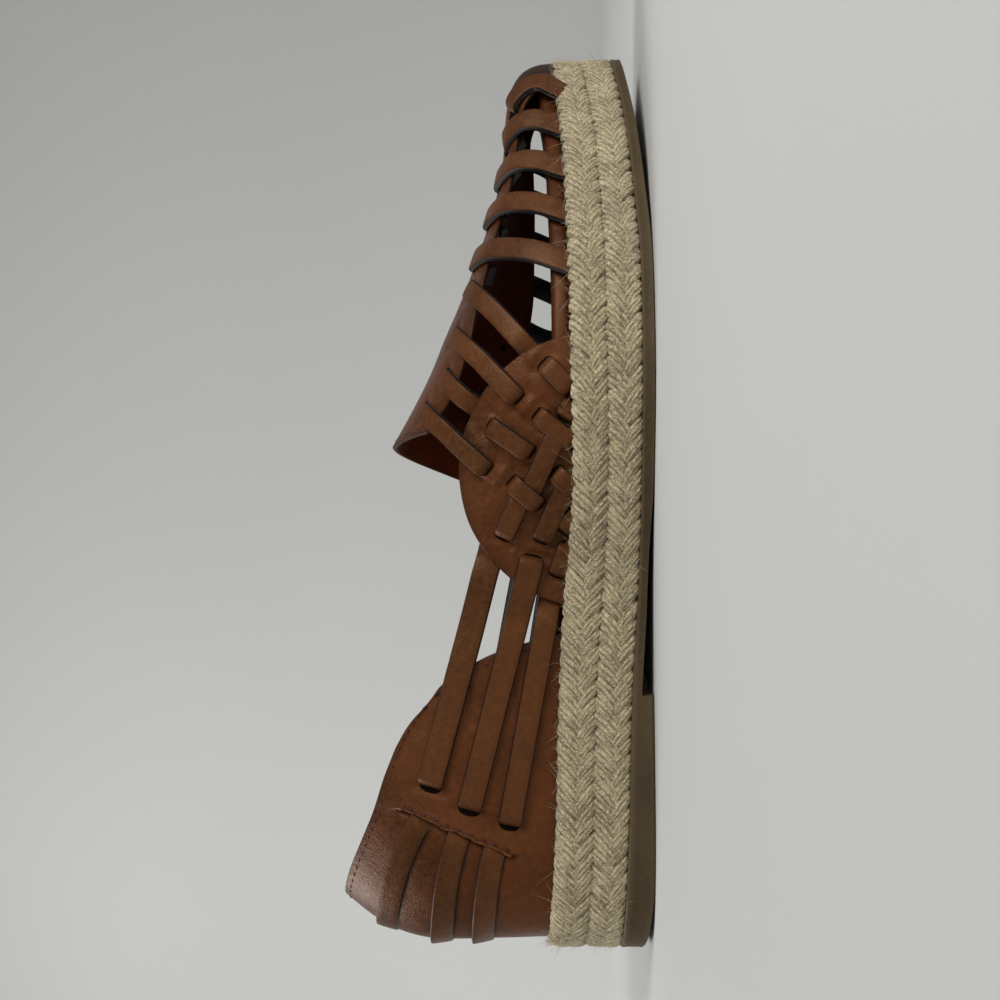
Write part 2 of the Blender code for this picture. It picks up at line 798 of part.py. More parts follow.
def main():
    for thing in list(bpy.data.objects):
        bpy.data.objects.remove(thing)
    rubber = new_material("outsole_rubber", (0.16, 0.115, 0.075), 0.55)
    filler = new_material("platform_filler", (0.30, 0.24, 0.16), 0.9)
    jute = new_material("jute_braid", (0.42, 0.34, 0.22), 0.95)
    footbed = new_material("footbed_leather", (0.30, 0.11, 0.03), 0.5)
    leather = new_material("upper_leather", (0.19, 0.065, 0.028), 0.45)
    make_outsole(rubber)
    make_midsole(filler)
    make_jute("jute_wrap_lower", LOWER_BRAID, jute)
    make_jute("jute_wrap_upper", UPPER_BRAID, jute)
    make_insole(footbed)
    make_upper(leather)


main()
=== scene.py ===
"""Looks of a woven leather flatform espadrille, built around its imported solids.

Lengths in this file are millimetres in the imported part's own frame: +Y from heel
to toe, +X to the outer (lateral) side, +Z up. They become metres where a mesh,
the camera or a light is made.
"""
import math
import random
from collections import namedtuple

import bpy
import numpy as np
from mathutils import Matrix, Vector
from mathutils import noise as value_noise
from mathutils.bvhtree import BVHTree
from mathutils.kdtree import KDTree


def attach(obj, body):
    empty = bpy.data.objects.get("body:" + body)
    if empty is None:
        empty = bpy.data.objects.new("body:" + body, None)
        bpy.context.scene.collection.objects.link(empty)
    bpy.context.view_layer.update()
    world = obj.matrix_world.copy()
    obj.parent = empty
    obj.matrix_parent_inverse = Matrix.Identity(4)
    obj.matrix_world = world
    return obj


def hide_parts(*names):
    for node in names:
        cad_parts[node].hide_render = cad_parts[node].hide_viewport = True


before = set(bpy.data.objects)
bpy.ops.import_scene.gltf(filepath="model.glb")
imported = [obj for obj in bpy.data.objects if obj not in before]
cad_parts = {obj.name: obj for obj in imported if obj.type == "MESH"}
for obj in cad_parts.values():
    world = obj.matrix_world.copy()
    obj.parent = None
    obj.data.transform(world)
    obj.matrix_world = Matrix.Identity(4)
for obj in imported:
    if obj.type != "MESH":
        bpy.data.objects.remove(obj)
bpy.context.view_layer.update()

METRE = 0.001
LATERAL = 1
MEDIAL = -1
SIDES = (LATERAL, MEDIAL)
SIDE_NAMES = {LATERAL: "lateral", MEDIAL: "medial"}


def table(kind, *rows):
    """Rows of numbers as named tuples of one kind."""
    return [kind(*row) for row in rows]


# Driving dimensions, the same as the solids' own
GAP = 0.3
WAIST_SHEET = 2.5
HEEL_BREAST_Y = 46.0
WAIST_END_Y = 114.0
UPPER_INSET = 5.4
UPPER_INSET_TOE = 2.3
UPPER_INSET_HEEL = 4.4
INSOLE_DISH = 1.2
INSOLE_INSET = 0.9
MEDALLION_RADIUS = 36.0
MEDALLION_CENTRE_Y = 104.8
MEDALLION_CENTRE_Z = 14.6
MEDIAL_MEDALLION_SHIFT = 10.0
MEDIAL_COUNTER_SETBACK = 8.0
HEEL_AXIS_Y = 12.0
HEEL_RADIUS = 40.0
HEEL_STRAP_EASE = 0.8
FOOT_DROP = 1.2
# Stretches along the shoe over which one shape passes into the next
INSET_TO_TOE = (190.0, 226.0)
INSET_FROM_HEEL = (-25.0, 15.0)
WALL_TO_TOE = (203.0, 225.0)
WALL_FROM_HEEL = (35.0, 130.0)

# Plan of the platform: half widths at each station from heel to toe
Station = namedtuple("Station", "y lateral medial")
HEEL_END = Station(-30.5, 0.0, 0.0)
TOE_END = Station(230.0, -10.0, -10.0)
PLAN = table(
    Station,
    (-26.0, 17.0, -17.0),
    (-15.0, 28.0, -27.5),
    (5.0, 33.5, -33.0),
    (30.0, 33.3, -31.5),
    (55.0, 32.0, -28.5),
    (80.0, 33.3, -27.5),
    (103.0, 39.5, -31.0),
    (127.0, 45.8, -38.5),
    (148.0, 44.3, -43.5),
    (165.0, 39.0, -44.5),
    (182.0, 30.0, -42.0),
    (200.0, 19.0, -37.5),
    (216.0, 6.5, -28.5),
    (225.5, -2.0, -18.0),
)

# Side view of the sole: underside, top of the outsole, top of the jute
Level = namedtuple("Level", "y tread outsole wrap")
LEVELS = table(
    Level,
    (-30.5, 2.0, 8.6, 28.0),
    (-15.0, 0.7, 8.0, 26.9),
    (-6.0, 0.0, 7.6, 26.2),
    (5.0, 0.0, 7.2, 25.6),
    (46.0, 0.0, 5.8, 24.3),
    (70.0, 0.0, 4.2, 22.9),
    (84.0, 0.0, 3.6, 21.5),
    (98.0, 0.0, 3.3, 20.5),
    (112.0, 0.0, 3.3, 20.3),
    (135.0, 0.0, 3.3, 20.7),
    (158.0, 0.0, 3.3, 20.9),
    (180.0, 1.0, 4.2, 21.6),
    (206.0, 2.8, 5.8, 22.9),
    (230.0, 5.6, 8.6, 26.0),
)

# Crown line of the last: the height that the upper's sections reach
Crown = namedtuple("Crown", "y x z")
CROWN = table(
    Crown,
    (8.0, 0.0, 108.0),
    (40.0, 0.0, 104.0),
    (70.0, 1.0, 96.0),
    (95.0, 1.0, 82.5),
    (112.0, 0.0, 73.0),
    (127.0, -1.0, 64.5),
    (143.0, -3.0, 57.0),
    (159.0, -5.0, 50.0),
    (177.0, -7.0, 43.5),
    (193.0, -9.0, 39.8),
    (207.0, -10.0, 38.5),
)

# Heel wall: share of the half width left at each share of the last's height
Wall = namedtuple("Wall", "rise width")
HEEL_WALL = table(
    Wall,
    (0.0, 1.0),
    (0.2, 1.02),
    (0.38, 1.03),
    (0.57, 0.93),
    (0.76, 0.63),
    (1.0, 0.0),
)
FORE_WALL_POWER = 2.1
TOE_WALL_POWER = 3.0

# Vamp spine: its two long edges, from the tongue end to the toe
Spine = namedtuple("Spine", "lateral_y lateral_z medial_y medial_z")
SPINE = table(
    Spine,
    (116.5, 60.0, 104.0, 54.0),
    (124.0, 53.8, 116.0, 49.5),
    (134.0, 49.3, 128.0, 43.4),
    (151.0, 45.6, 148.0, 35.6),
    (163.0, 42.8, 162.0, 32.8),
    (174.0, 40.5, 176.0, 32.2),
    (187.0, 37.0, 190.0, 31.8),
    (204.0, 35.0, 204.0, 32.0),
)
TONGUE_BOW = 2.2
SPINE_TOE_PITCHES = (20.0, 38.0, 55.0, 72.0, 92.5)
SPINE_TOE_SPREAD = 34.0

# Toe straps: where each stands on the sole at both sides, how far round the last
# it climbs, in degrees from the sole to the crown, and how far it leans to the toe
# by the crown, most of it low down
LEAN_RISE = 17.7
ToeStrap = namedtuple("ToeStrap", "lateral_y medial_y lateral_turn medial_turn back")
TOE_STRAPS = table(
    ToeStrap,
    (158.6, 162.4, 67.0, 70.0, 7.9),
    (173.2, 176.0, 68.0, 67.0, 8.1),
    (187.0, 188.8, 68.0, 68.0, 8.6),
    (201.0, 200.4, 66.0, 64.0, 9.6),
    (214.0, 212.6, 58.0, 58.0, 17.0),
)

# Straps drawn in side view: both ends, what each end does, and the width. An end
# goes into a slot or under the medallion's edge.
Side = namedtuple("Side", "name side start_y start_z end_y end_z start end width")
SLOT = "slot"
UNDER = "under"
SIDE_STRAPS = table(
    Side,
    ("instep_1", LATERAL, 156.3, 47.8, 134.0, 29.9, SLOT, UNDER, 5.4),
    ("instep_2", LATERAL, 143.1, 52.2, 124.3, 34.4, SLOT, SLOT, 5.4),
    ("instep_3", LATERAL, 131.6, 54.7, 117.5, 41.8, SLOT, UNDER, 5.4),
    ("instep_4", LATERAL, 122.9, 61.0, 106.1, 42.9, SLOT, SLOT, 5.4),
    ("instep_1", MEDIAL, 157.6, 41.0, 149.4, 26.0, SLOT, UNDER, 5.4),
    ("instep_2", MEDIAL, 147.5, 43.0, 134.3, 34.4, SLOT, SLOT, 5.4),
    ("instep_3", MEDIAL, 132.5, 60.5, 128.5, 41.8, SLOT, UNDER, 5.4),
    ("instep_4", MEDIAL, 124.5, 54.0, 116.1, 42.9, SLOT, SLOT, 5.4),
    ("quarter_1", LATERAL, 88.0, 42.2, 21.0, 59.8, UNDER, SLOT, 6.9),
    ("quarter_2", LATERAL, 83.2, 31.8, 15.0, 49.5, SLOT, SLOT, 6.5),
    ("quarter_3", LATERAL, 77.0, 26.3, 11.0, 38.7, UNDER, SLOT, 6.1),
    ("quarter_1", MEDIAL, 96.0, 43.0, 21.0, 62.6, UNDER, SLOT, 6.3),
    ("quarter_2", MEDIAL, 91.0, 33.6, 15.0, 48.8, SLOT, SLOT, 6.3),
    ("quarter_3", MEDIAL, 86.0, 26.0, 11.0, 38.4, UNDER, SLOT, 6.1),
)
# Woven pieces of a medallion, as they lie on the lateral one
Weave = namedtuple("Weave", "name start_y start_z end_y end_z width")
WEAVE = table(
    Weave,
    ("weave_1", 133.2, 28.2, 126.2, 21.2, 5.2),
    ("weave_2", 120.6, 30.2, 112.8, 20.4, 5.2),
    ("weave_3", 118.3, 42.2, 110.5, 31.6, 5.2),
    ("weave_4", 103.5, 37.1, 96.8, 29.5, 5.2),
    ("weave_5", 105.8, 25.9, 100.6, 19.8, 5.2),
    ("cross_1", 115.6, 25.1, 100.0, 32.3, 5.4),
    ("cross_2", 99.2, 34.5, 88.0, 39.8, 5.4),
    ("cross_3", 102.4, 22.7, 87.2, 29.8, 5.4),
    ("cross_4", 123.4, 20.6, 119.2, 23.6, 5.4),
    ("cross_5", 95.2, 19.6, 89.6, 23.8, 5.4),
    ("cross_6", 86.5, 22.4, 77.6, 25.6, 5.2),
)
# Woven pieces that pass over others, and the strap that stands off in a loop
RAISED = {"weave_3": 0.7, "weave_4": 0.7, "weave_5": 0.6}
LOOSE = {("instep_3", MEDIAL): 3.0}
# Stretches where a strap runs on beneath the medallion and lifts it a little
UNDERPASSES = (
    ("instep_1", "weave_1"), ("instep_2", "weave_2"), ("instep_3", "weave_3"),
    ("instep_4", "weave_4"), ("weave_4", "cross_3"), ("cross_1", "cross_2"),
    ("cross_2", "quarter_1"), ("cross_3", "quarter_2"), ("weave_3", "cross_1"),
)

# Heel counter: its front edge from the sole up, and its topline to the back
Edge = namedtuple("Edge", "y z")
COUNTER_FRONT = table(Edge, (62.0, 24.0), (56.5, 42.0), (53.0, 49.0), (47.7, 56.8), (43.4, 60.4))
TOPLINE = table(
    Edge, (-18.0, 87.2), (-12.0, 85.2), (-4.2, 82.6), (3.0, 79.6), (13.8, 75.1), (24.0, 71.7),
    (30.6, 69.1), (34.5, 67.4), (40.7, 62.7), (43.4, 60.4),
)
WAIST_ARCH = table(Edge, (84.0, 1.25), (98.0, 0.45), (WAIST_END_Y, -0.2))
WAIST_SHEET_END_Y = 66.0

# Straps that wrap the counter: height at the slit on each side and at the back
HeelStrap = namedtuple("HeelStrap", "slit_y slit_z back_z")
HEEL_STRAPS = table(
    HeelStrap,
    (12.0, 62.0, 74.0),
    (8.5, 52.0, 59.0),
    (5.0, 42.5, 47.5),
)
SLIT = table(Edge, (14.6, 66.6), (3.2, 38.4))


# Curves and the last

def interpolate(rows, key, value, at):
    """Value of one column at a position along another, smooth and with no overshoot."""
    keys = [getattr(row, key) for row in rows]
    values = [getattr(row, value) for row in rows]
    if at <= keys[0]:
        return values[0]
    if at >= keys[-1]:
        return values[-1]
    i = max(j for j in range(len(keys) - 1) if keys[j] <= at)
    span = keys[i + 1] - keys[i]
    t = (at - keys[i]) / span

    def slope(j):
        if j == 0 or j == len(keys) - 1:
            low = min(max(j - 1, 0), len(keys) - 2)
            return (values[low + 1] - values[low]) / (keys[low + 1] - keys[low])
        if (values[j + 1] - values[j]) * (values[j] - values[j - 1]) <= 0:
            return 0.0
        return (values[j + 1] - values[j - 1]) / (keys[j + 1] - keys[j - 1])

    a = slope(i) * span
    b = slope(i + 1) * span
    rise = values[i + 1] - values[i]
    return values[i] + t * (a + t * (3 * rise - 2 * a - b + t * (a + b - 2 * rise)))


def smooth_step(start, end, value):
    """Rises smoothly from 0 at the start to 1 at the end, whichever is larger."""
    t = np.clip((value - start) / (end - start), 0.0, 1.0)
    return t * t * (3 - 2 * t)


def fade(distance, amount, width, power=2):
    """The amount where the distance is 0, next to none of it past twice the width."""
    return amount * np.exp(-(distance / width) ** power)


def refine(points, steps, axis=0):
    """Catmull-Rom points between the rows of an array, along one axis."""
    rows = np.moveaxis(np.asarray(points, float), axis, 0)
    ends = np.concatenate([2 * rows[:1] - rows[1:2], rows, 2 * rows[-1:] - rows[-2:-1]])
    t = (np.arange(steps) / steps).reshape(-1, *[1] * (rows.ndim - 1))
    spans = []
    for i in range(len(rows) - 1):
        p0, p1, p2, p3 = ends[i:i + 4]
        spans.append(0.5 * (2 * p1 + (p2 - p0) * t + (2 * p0 - 5 * p1 + 4 * p2 - p3) * t ** 2
                            + (3 * p1 - p0 - 3 * p2 + p3) * t ** 3))
    return np.moveaxis(np.concatenate([*spans, rows[-1:]]), 0, axis)


def distance_along(line):
    """Distance of each point of a line from the first one, along the line."""
    return np.concatenate([[0.0], np.cumsum(np.linalg.norm(np.diff(line, axis=0), axis=1))])


def look_up(at, along, rows, period=None):
    """Rows of values at places along a line, straight between the places that are given."""
    columns = [np.interp(at, along, values, period=period) for values in np.transpose(rows)]
    return np.stack(columns, axis=1)


def resample(points, count, closed=False):
    """Points at equal distances along a line of points."""
    line = np.concatenate([points, points[:1]]) if closed else np.asarray(points)
    along = distance_along(line)
    at = np.linspace(0.0, along[-1], count + 1 if closed else count)[:count]
    return look_up(at, along, line)


def unit(vectors):
    return vectors / np.maximum(np.linalg.norm(vectors, axis=-1, keepdims=True), 1e-9)


OUTLINE_STEPS = 12


def platform_outline(count):
    """Outer edge of the platform from the back of the heel, lateral side first."""
    rows = [(HEEL_END.lateral, HEEL_END.y, 0.0)]
    rows += [(row.lateral, row.y, 0.0) for row in PLAN]
    rows.append((TOE_END.lateral, TOE_END.y, 0.0))
    rows += [(row.medial, row.y, 0.0) for row in reversed(PLAN)]
    loop = np.array(rows[-2:] + rows + rows[:3])
    curve = refine(loop, OUTLINE_STEPS)[2 * OUTLINE_STEPS:-2 * OUTLINE_STEPS]
    return resample(curve[:-1], count, True)


def inset(outline, distance):
    """Outline moved inwards; distance is a number or one for each point."""
    along = unit(np.roll(outline, -1, 0) - np.roll(outline, 1, 0))
    inward = np.stack([-along[:, 1], along[:, 0], np.zeros(len(outline))], axis=1)
    return outline + inward * np.asarray(distance).reshape(-1, 1)


def grid_faces(rows, columns, offset=0, flip=False, wrap=False):
    """Quads of a grid of points, row by row; wrap joins its last column to its first."""
    r, c = np.meshgrid(np.arange(rows - 1), np.arange(columns if wrap else columns - 1), indexing="ij")
    r, c = r.ravel(), c.ravel()
    d = (c + 1) % columns
    quads = np.stack([r * columns + c, r * columns + d, (r + 1) * columns + d,
                      (r + 1) * columns + c], axis=1) + offset
    return (quads[:, ::-1] if flip else quads).tolist()


def tube_faces(count, sides):
    """Faces of a closed-ended tube through rings of points."""
    last = (count - 1) * sides
    ends = [list(range(sides)), list(range(last + sides - 1, last - 1, -1))]
    return grid_faces(count, sides, wrap=True) + ends


def column(rows, value, ys):
    return np.array([interpolate(rows, "y", value, y) for y in np.ravel(ys)]).reshape(np.shape(ys))


def wrap_top(y):
    return interpolate(LEVELS, "y", "wrap", y)


def outsole_top(y):
    return interpolate(LEVELS, "y", "outsole", y)


def upper_inset(ys):
    toe = (UPPER_INSET_TOE - UPPER_INSET) * smooth_step(*INSET_TO_TOE, ys)
    heel = (UPPER_INSET_HEEL - UPPER_INSET) * (1 - smooth_step(*INSET_FROM_HEEL, ys))
    return UPPER_INSET + toe + heel


def wall_width(rise, y):
    """Share of the half width that is left at a share of the last's height."""
    power = FORE_WALL_POWER + (TOE_WALL_POWER - FORE_WALL_POWER) * smooth_step(*WALL_TO_TOE, y)
    fore = max(1.0 - max(rise, 0.0) ** power, 0.0) ** (1.0 / power)
    heel = interpolate(HEEL_WALL, "rise", "width", rise)
    return heel + (fore - heel) * smooth_step(*WALL_FROM_HEEL, y)


def crown_above(foot):
    """Crown point that the wall above a point of the outline rises to."""
    share = (foot[1] - HEEL_END.y - UPPER_INSET) / (TOE_END.y - HEEL_END.y - 2 * UPPER_INSET)
    y = CROWN[0].y + (CROWN[-1].y - CROWN[0].y) * min(max(share, 0.0), 1.0)
    return Vector((interpolate(CROWN, "y", "x", y), y, interpolate(CROWN, "y", "z", y)))


def last_point(foot, rise):
    """Point of the last above a point of its base outline."""
    crown = crown_above(foot)
    base_z = wrap_top(foot[1])
    width = wall_width(rise, foot[1])
    return Vector((
        crown.x + (foot[0] - crown.x) * width,
        crown.y + (foot[1] - crown.y) * width,
        base_z + (crown.z - base_z) * rise,
    ))


LAST_FEET = 480
LAST_RINGS = 60
LAST_SKIRT = 6.0
# A point inside the last, which tells outwards from inwards
INSIDE = (-3.0, 60.0, 30.0)


def base_outline(count):
    outline = platform_outline(count)
    return inset(outline, upper_inset(outline[:, 1]))


FEET = base_outline(LAST_FEET)


def foot_at(y, side):
    """Point of the last's base outline at a distance along the shoe."""
    half = FEET[:len(FEET) // 2] if side == LATERAL else FEET[:len(FEET) // 2 - 1:-1]
    return np.array([np.interp(y, half[:, 1], half[:, 0]), y, 0.0])


def make_last():
    """The last as a surface that rays are cast at."""
    points = [Vector((x, y, wrap_top(y) - LAST_SKIRT)) for x, y, _ in FEET]
    for i in range(LAST_RINGS + 1):
        rise = math.sin(math.pi / 2 * i / LAST_RINGS)
        points += [last_point(foot, rise) for foot in FEET]
    return BVHTree.FromPolygons(points, grid_faces(LAST_RINGS + 2, len(FEET), wrap=True))


LAST = make_last()


def crown_x(y):
    return interpolate(CROWN, "y", "x", y)


def on_last(origin, direction):
    """Point where a ray from inside leaves the last."""
    point = LAST.ray_cast(origin, direction.normalized())[0]
    if point is None:
        raise ValueError(f"the ray from {origin} misses the last")
    return point


def side_point(y, z, side):
    """Point of the last that side view shows at y and z."""
    return on_last(Vector((crown_x(y), y, z)), Vector((side, 0.0, 0.0)))


def side_line(start_y, start_z, end_y, end_z, side, count):
    """Points of the last along a straight line drawn in side view."""
    return [side_point(start_y + (end_y - start_y) * t, start_z + (end_z - start_z) * t, side)
            for t in np.linspace(0.0, 1.0, count)]


def fan_point(y, pitch, angle):
    """Point on the crown side of the last, by a ray from its base."""
    direction = Vector((
        math.sin(angle),
        math.cos(angle) * math.sin(pitch),
        math.cos(angle) * math.cos(pitch),
    ))
    return on_last(Vector((crown_x(y), y, wrap_top(y))), direction)


def heel_point(angle, z):
    """Point round the heel; the angle is 0 at the back and grows to the side."""
    direction = Vector((math.sin(angle), -math.cos(angle), 0.0))
    return on_last(Vector((0.0, HEEL_AXIS_Y, z)), direction)


# Shader nodes

def rgb(red, green, blue):
    """Linear colour of a colour given on the display's 0 to 255 scale."""
    def linear(value):
        share = value / 255
        return share / 12.92 if share <= 0.04045 else ((share + 0.055) / 1.055) ** 2.4
    return (linear(red), linear(green), linear(blue), 1.0)


class Paint:
    """Nodes of one material, in the shoe's own coordinates."""

    def __init__(self, name, roughness, specular=0.5, sheen=0.0):
        self.material = bpy.data.materials.new(name)
        self.material.use_nodes = True
        self.tree = self.material.node_tree
        self.shader = self.tree.nodes["Principled BSDF"].inputs
        self.shader["Roughness"].default_value = roughness
        self.shader["Specular IOR Level"].default_value = specular
        self.shader["Sheen Weight"].default_value = sheen
        self.where = self.node("ShaderNodeTexCoord").outputs["Object"]

    def feed(self, socket, value):
        """Gives an input a value or another node's output."""
        if isinstance(value, bpy.types.NodeSocket):
            self.tree.links.new(value, socket)
        else:
            socket.default_value = value

    def node(self, kind, settings=None, **inputs):
        """New node; a name that starts with _ is an input's number."""
        node = self.tree.nodes.new(kind)
        for key, value in (settings or {}).items():
            setattr(node, key, value)
        for key, value in inputs.items():
            self.feed(node.inputs[int(key[1:]) if key[0] == "_" else key], value)
        return node

    def noise(self, scale, detail=4.0, rough=0.55, where=None):
        return self.node("ShaderNodeTexNoise", Vector=where or self.where, Scale=scale, Detail=detail,
                         Roughness=rough).outputs["Fac"]

    def span(self, value, low, high, to_low=0.0, to_high=1.0):
        """Value between low and high carried to another range, held at its ends."""
        return self.node("ShaderNodeMapRange", _0=value, _1=low, _2=high, _3=to_low,
                         _4=to_high).outputs[0]

    def maths(self, operation, a, b):
        return self.node("ShaderNodeMath", {"operation": operation}, _0=a, _1=b).outputs[0]

    def blend(self, amount, a, b):
        """Colour between a and b."""
        return self.node("ShaderNodeMix", {"data_type": "RGBA"}, _0=amount, _6=a, _7=b).outputs[2]

    def mark(self, name):
        """Value stored on the mesh."""
        return self.node("ShaderNodeAttribute", {"attribute_name": name}).outputs["Fac"]

    def bump(self, height, strength, distance, **under):
        """Relief of the surface, on top of an earlier one if Normal gives it."""
        node = self.node("ShaderNodeBump", Strength=strength, Distance=distance * METRE,
                         Height=height, **under)
        return node.outputs["Normal"]

    def finished(self, colour, normal=None):
        self.feed(self.shader["Base Color"], colour)
        if normal is not None:
            self.feed(self.shader["Normal"], normal)
        return self.material


def leather(name, base, deep, light, roughness=0.4, grain=0.35):
    """Pull-up leather: cloudy colour, fine mottle, pores, darker along cut edges, with painted shade on
    strap ends that dive into slots and where the mesh marks shade.
    """
    paint = Paint(name, roughness, 0.38)
    paint.shader["Specular Tint"].default_value = rgb(255, 205, 165)
    mottle = paint.noise(620.0, 6.0, 0.7)
    colour = paint.blend(paint.span(paint.noise(42.0, 3.0), 0.35, 0.68), base, deep)
    colour = paint.blend(paint.span(mottle, 0.42, 0.74, 0.0, 0.5), colour, light)
    colour = paint.blend(paint.span(paint.noise(1900.0, 3.0, 0.6), 0.56, 0.75, 0.0, 0.5), colour, deep)
    # Cut edges darker, and painted shade on strap ends as they dive into their slots
    worn_and_shaded = paint.maths("MULTIPLY", paint.mark("edge"), paint.span(mottle, 0.2, 0.7, 0.55, 1.0))
    colour = paint.blend(paint.maths("MULTIPLY", worn_and_shaded, 0.55), colour, rgb(34, 18, 13))
    # Painted shade where the mesh marks it: the vamp's toe end, beside the heel straps, along the slits
    colour = paint.blend(paint.mark("painted_shade"), colour, rgb(14, 8, 6))
    uneven = paint.span(mottle, 0.3, 0.7, -0.06, 0.1)
    paint.feed(paint.shader["Roughness"], paint.maths("ADD", uneven, roughness))
    pores = paint.node("ShaderNodeTexVoronoi", {"feature": "DISTANCE_TO_EDGE"}, Vector=paint.where,
                       Scale=1150.0).outputs["Distance"]
    height = paint.maths("ADD", paint.span(pores, 0.0, 0.16), paint.maths("MULTIPLY", mottle, 0.9))
    under = paint.bump(paint.noise(130.0), 0.22, 1.2)
    return paint.finished(colour, paint.bump(height, grain, 0.1, Normal=under))


Grain = namedtuple("Grain", "scale detail strength depth")


def two_tone(name, dark, light, scale, detail=4.0, roughness=0.45, specular=0.5, sheen=0.0, grain=None):
    """Plain material clouded between two colours, with a fine grain."""
    paint = Paint(name, roughness, specular, sheen)
    colour = paint.blend(paint.noise(scale, detail), dark, light)
    if grain is None:
        return paint.finished(colour)
    return paint.finished(colour, paint.bump(paint.noise(grain.scale, grain.detail),
                                             grain.strength, grain.depth))


def jute(name, base, shade, light):
    """Dry bast fibre: pale streaks along each yarn over a darker body, with painted shade where the
    mesh marks furrows.
    """
    paint = Paint(name, 0.88, 0.25, 0.2)
    paint.shader["Sheen Roughness"].default_value = 0.6
    yarn = paint.node("ShaderNodeTexCoord").outputs["UV"]
    drawn = paint.node("ShaderNodeMapping", Vector=yarn, Scale=(3.4, 0.42, 1.0)).outputs["Vector"]
    fibres = paint.noise(1.0, 6.0, 0.72, drawn)
    frizz = paint.noise(1700.0, 5.0, 0.75)
    colour = paint.blend(paint.span(paint.noise(160.0, 3.0), 0.35, 0.65, 0.0, 0.5), base, shade)
    colour = paint.blend(paint.span(fibres, 0.5, 0.68, 0.0, 0.75), colour, light)
    colour = paint.blend(paint.span(fibres, 0.47, 0.34, 0.0, 0.85), colour, shade)
    colour = paint.blend(paint.span(frizz, 0.53, 0.62, 0.0, 0.8), colour, light)
    colour = paint.blend(paint.span(frizz, 0.47, 0.37, 0.0, 0.85), colour, shade)
    # Painted shade in the furrows between yarns and bundles
    colour = paint.blend(paint.mark("painted_shade"), colour, rgb(58, 44, 26))
    under = paint.bump(frizz, 0.7, 0.35)
    return paint.finished(colour, paint.bump(fibres, 0.9, 0.6, Normal=under))


def rubber(name, base, deep, light):
    """Moulded rubber with a faint mottle and a matt skin."""
    paint = Paint(name, 0.6, 0.3)
    colour = paint.blend(paint.span(paint.noise(35.0), 0.35, 0.65), base, deep)
    colour = paint.blend(paint.span(paint.noise(900.0, 3.0), 0.55, 0.8, 0.0, 0.35), colour, light)
    colour = paint.blend(paint.maths("MULTIPLY", paint.mark("edge"), 0.5), colour, light)
    return paint.finished(colour, paint.bump(paint.noise(1400.0), 0.25, 0.12))


def thread(name, dark, light):
    """Twisted thread."""
    paint = Paint(name, 0.6)
    twist = paint.node("ShaderNodeTexWave", Vector=paint.where, Scale=900.0,
                       Distortion=2.0).outputs["Fac"]
    return paint.finished(paint.blend(twist, dark, light), paint.bump(twist, 0.5, 0.1))


LEATHER = leather("upper_leather", rgb(90, 48, 22), rgb(63, 31, 13), rgb(116, 69, 36))
STRAP_LEATHER = leather("strap_leather", rgb(90, 51, 25), rgb(66, 36, 16), rgb(115, 72, 39))
LINING = leather("lining_leather", rgb(112, 52, 26), rgb(82, 35, 17), rgb(130, 68, 38), 0.55, 0.2)
FOOTBED = leather("footbed_leather", rgb(78, 38, 12), rgb(58, 26, 7), rgb(95, 50, 18), 0.42, 0.2)
CUT_EDGE = two_tone("painted_edge", rgb(16, 17, 19), rgb(32, 28, 28), 500.0, specular=0.3,
                    grain=Grain(900.0, 4.0, 0.3, 0.15))
PANEL_EDGE = leather("panel_edge", rgb(58, 32, 22), rgb(38, 22, 16), rgb(78, 46, 32), 0.5, 0.3)
EDGE_LINE = two_tone("thin_edge_line", rgb(60, 56, 54), rgb(98, 92, 88), 260.0,
                     grain=Grain(700.0, 4.0, 0.3, 0.1))
FLESH = two_tone("strap_back", rgb(26, 27, 28), rgb(58, 58, 57), 380.0, 6.0, 0.55, sheen=0.15,
                 grain=Grain(1500.0, 5.0, 0.4, 0.15))
RAW_EDGE = leather("raw_edge", rgb(96, 58, 34), rgb(58, 32, 18), rgb(132, 90, 58), 0.7, 0.6)
JUTE = jute("jute_yarn", rgb(224, 204, 158), rgb(112, 90, 54), rgb(254, 241, 206))
FIBRE = jute("jute_hair", rgb(206, 192, 158), rgb(176, 160, 124), rgb(228, 218, 190))
JUTE_CORE = jute("jute_shadow", rgb(122, 106, 74), rgb(92, 78, 52), rgb(146, 128, 94))
SLOT_SHADE = two_tone("slot_shade", rgb(16, 9, 6), rgb(24, 14, 10), 400.0, roughness=0.9, specular=0.05)
RUBBER = rubber("outsole_rubber", rgb(86, 70, 46), rgb(70, 56, 35), rgb(112, 96, 68))
THREAD = thread("stitch_thread", rgb(78, 32, 20), rgb(48, 18, 12))


# Meshes

def link(name, data):
    """New object in the scene."""
    thing = bpy.data.objects.new(name, data)
    bpy.context.scene.collection.objects.link(thing)
    return thing


def new_object(name, points, faces):
    mesh = bpy.data.meshes.new(name)
    mesh.from_pydata((np.asarray(points, float) * METRE).tolist(), [], faces)
    mesh.shade_smooth()
    return link(name, mesh)


# The slot and the solids that a piece stands for
Place = namedtuple("Place", "slot nodes")
UPPER = Place("upper_leather", ("upper",))


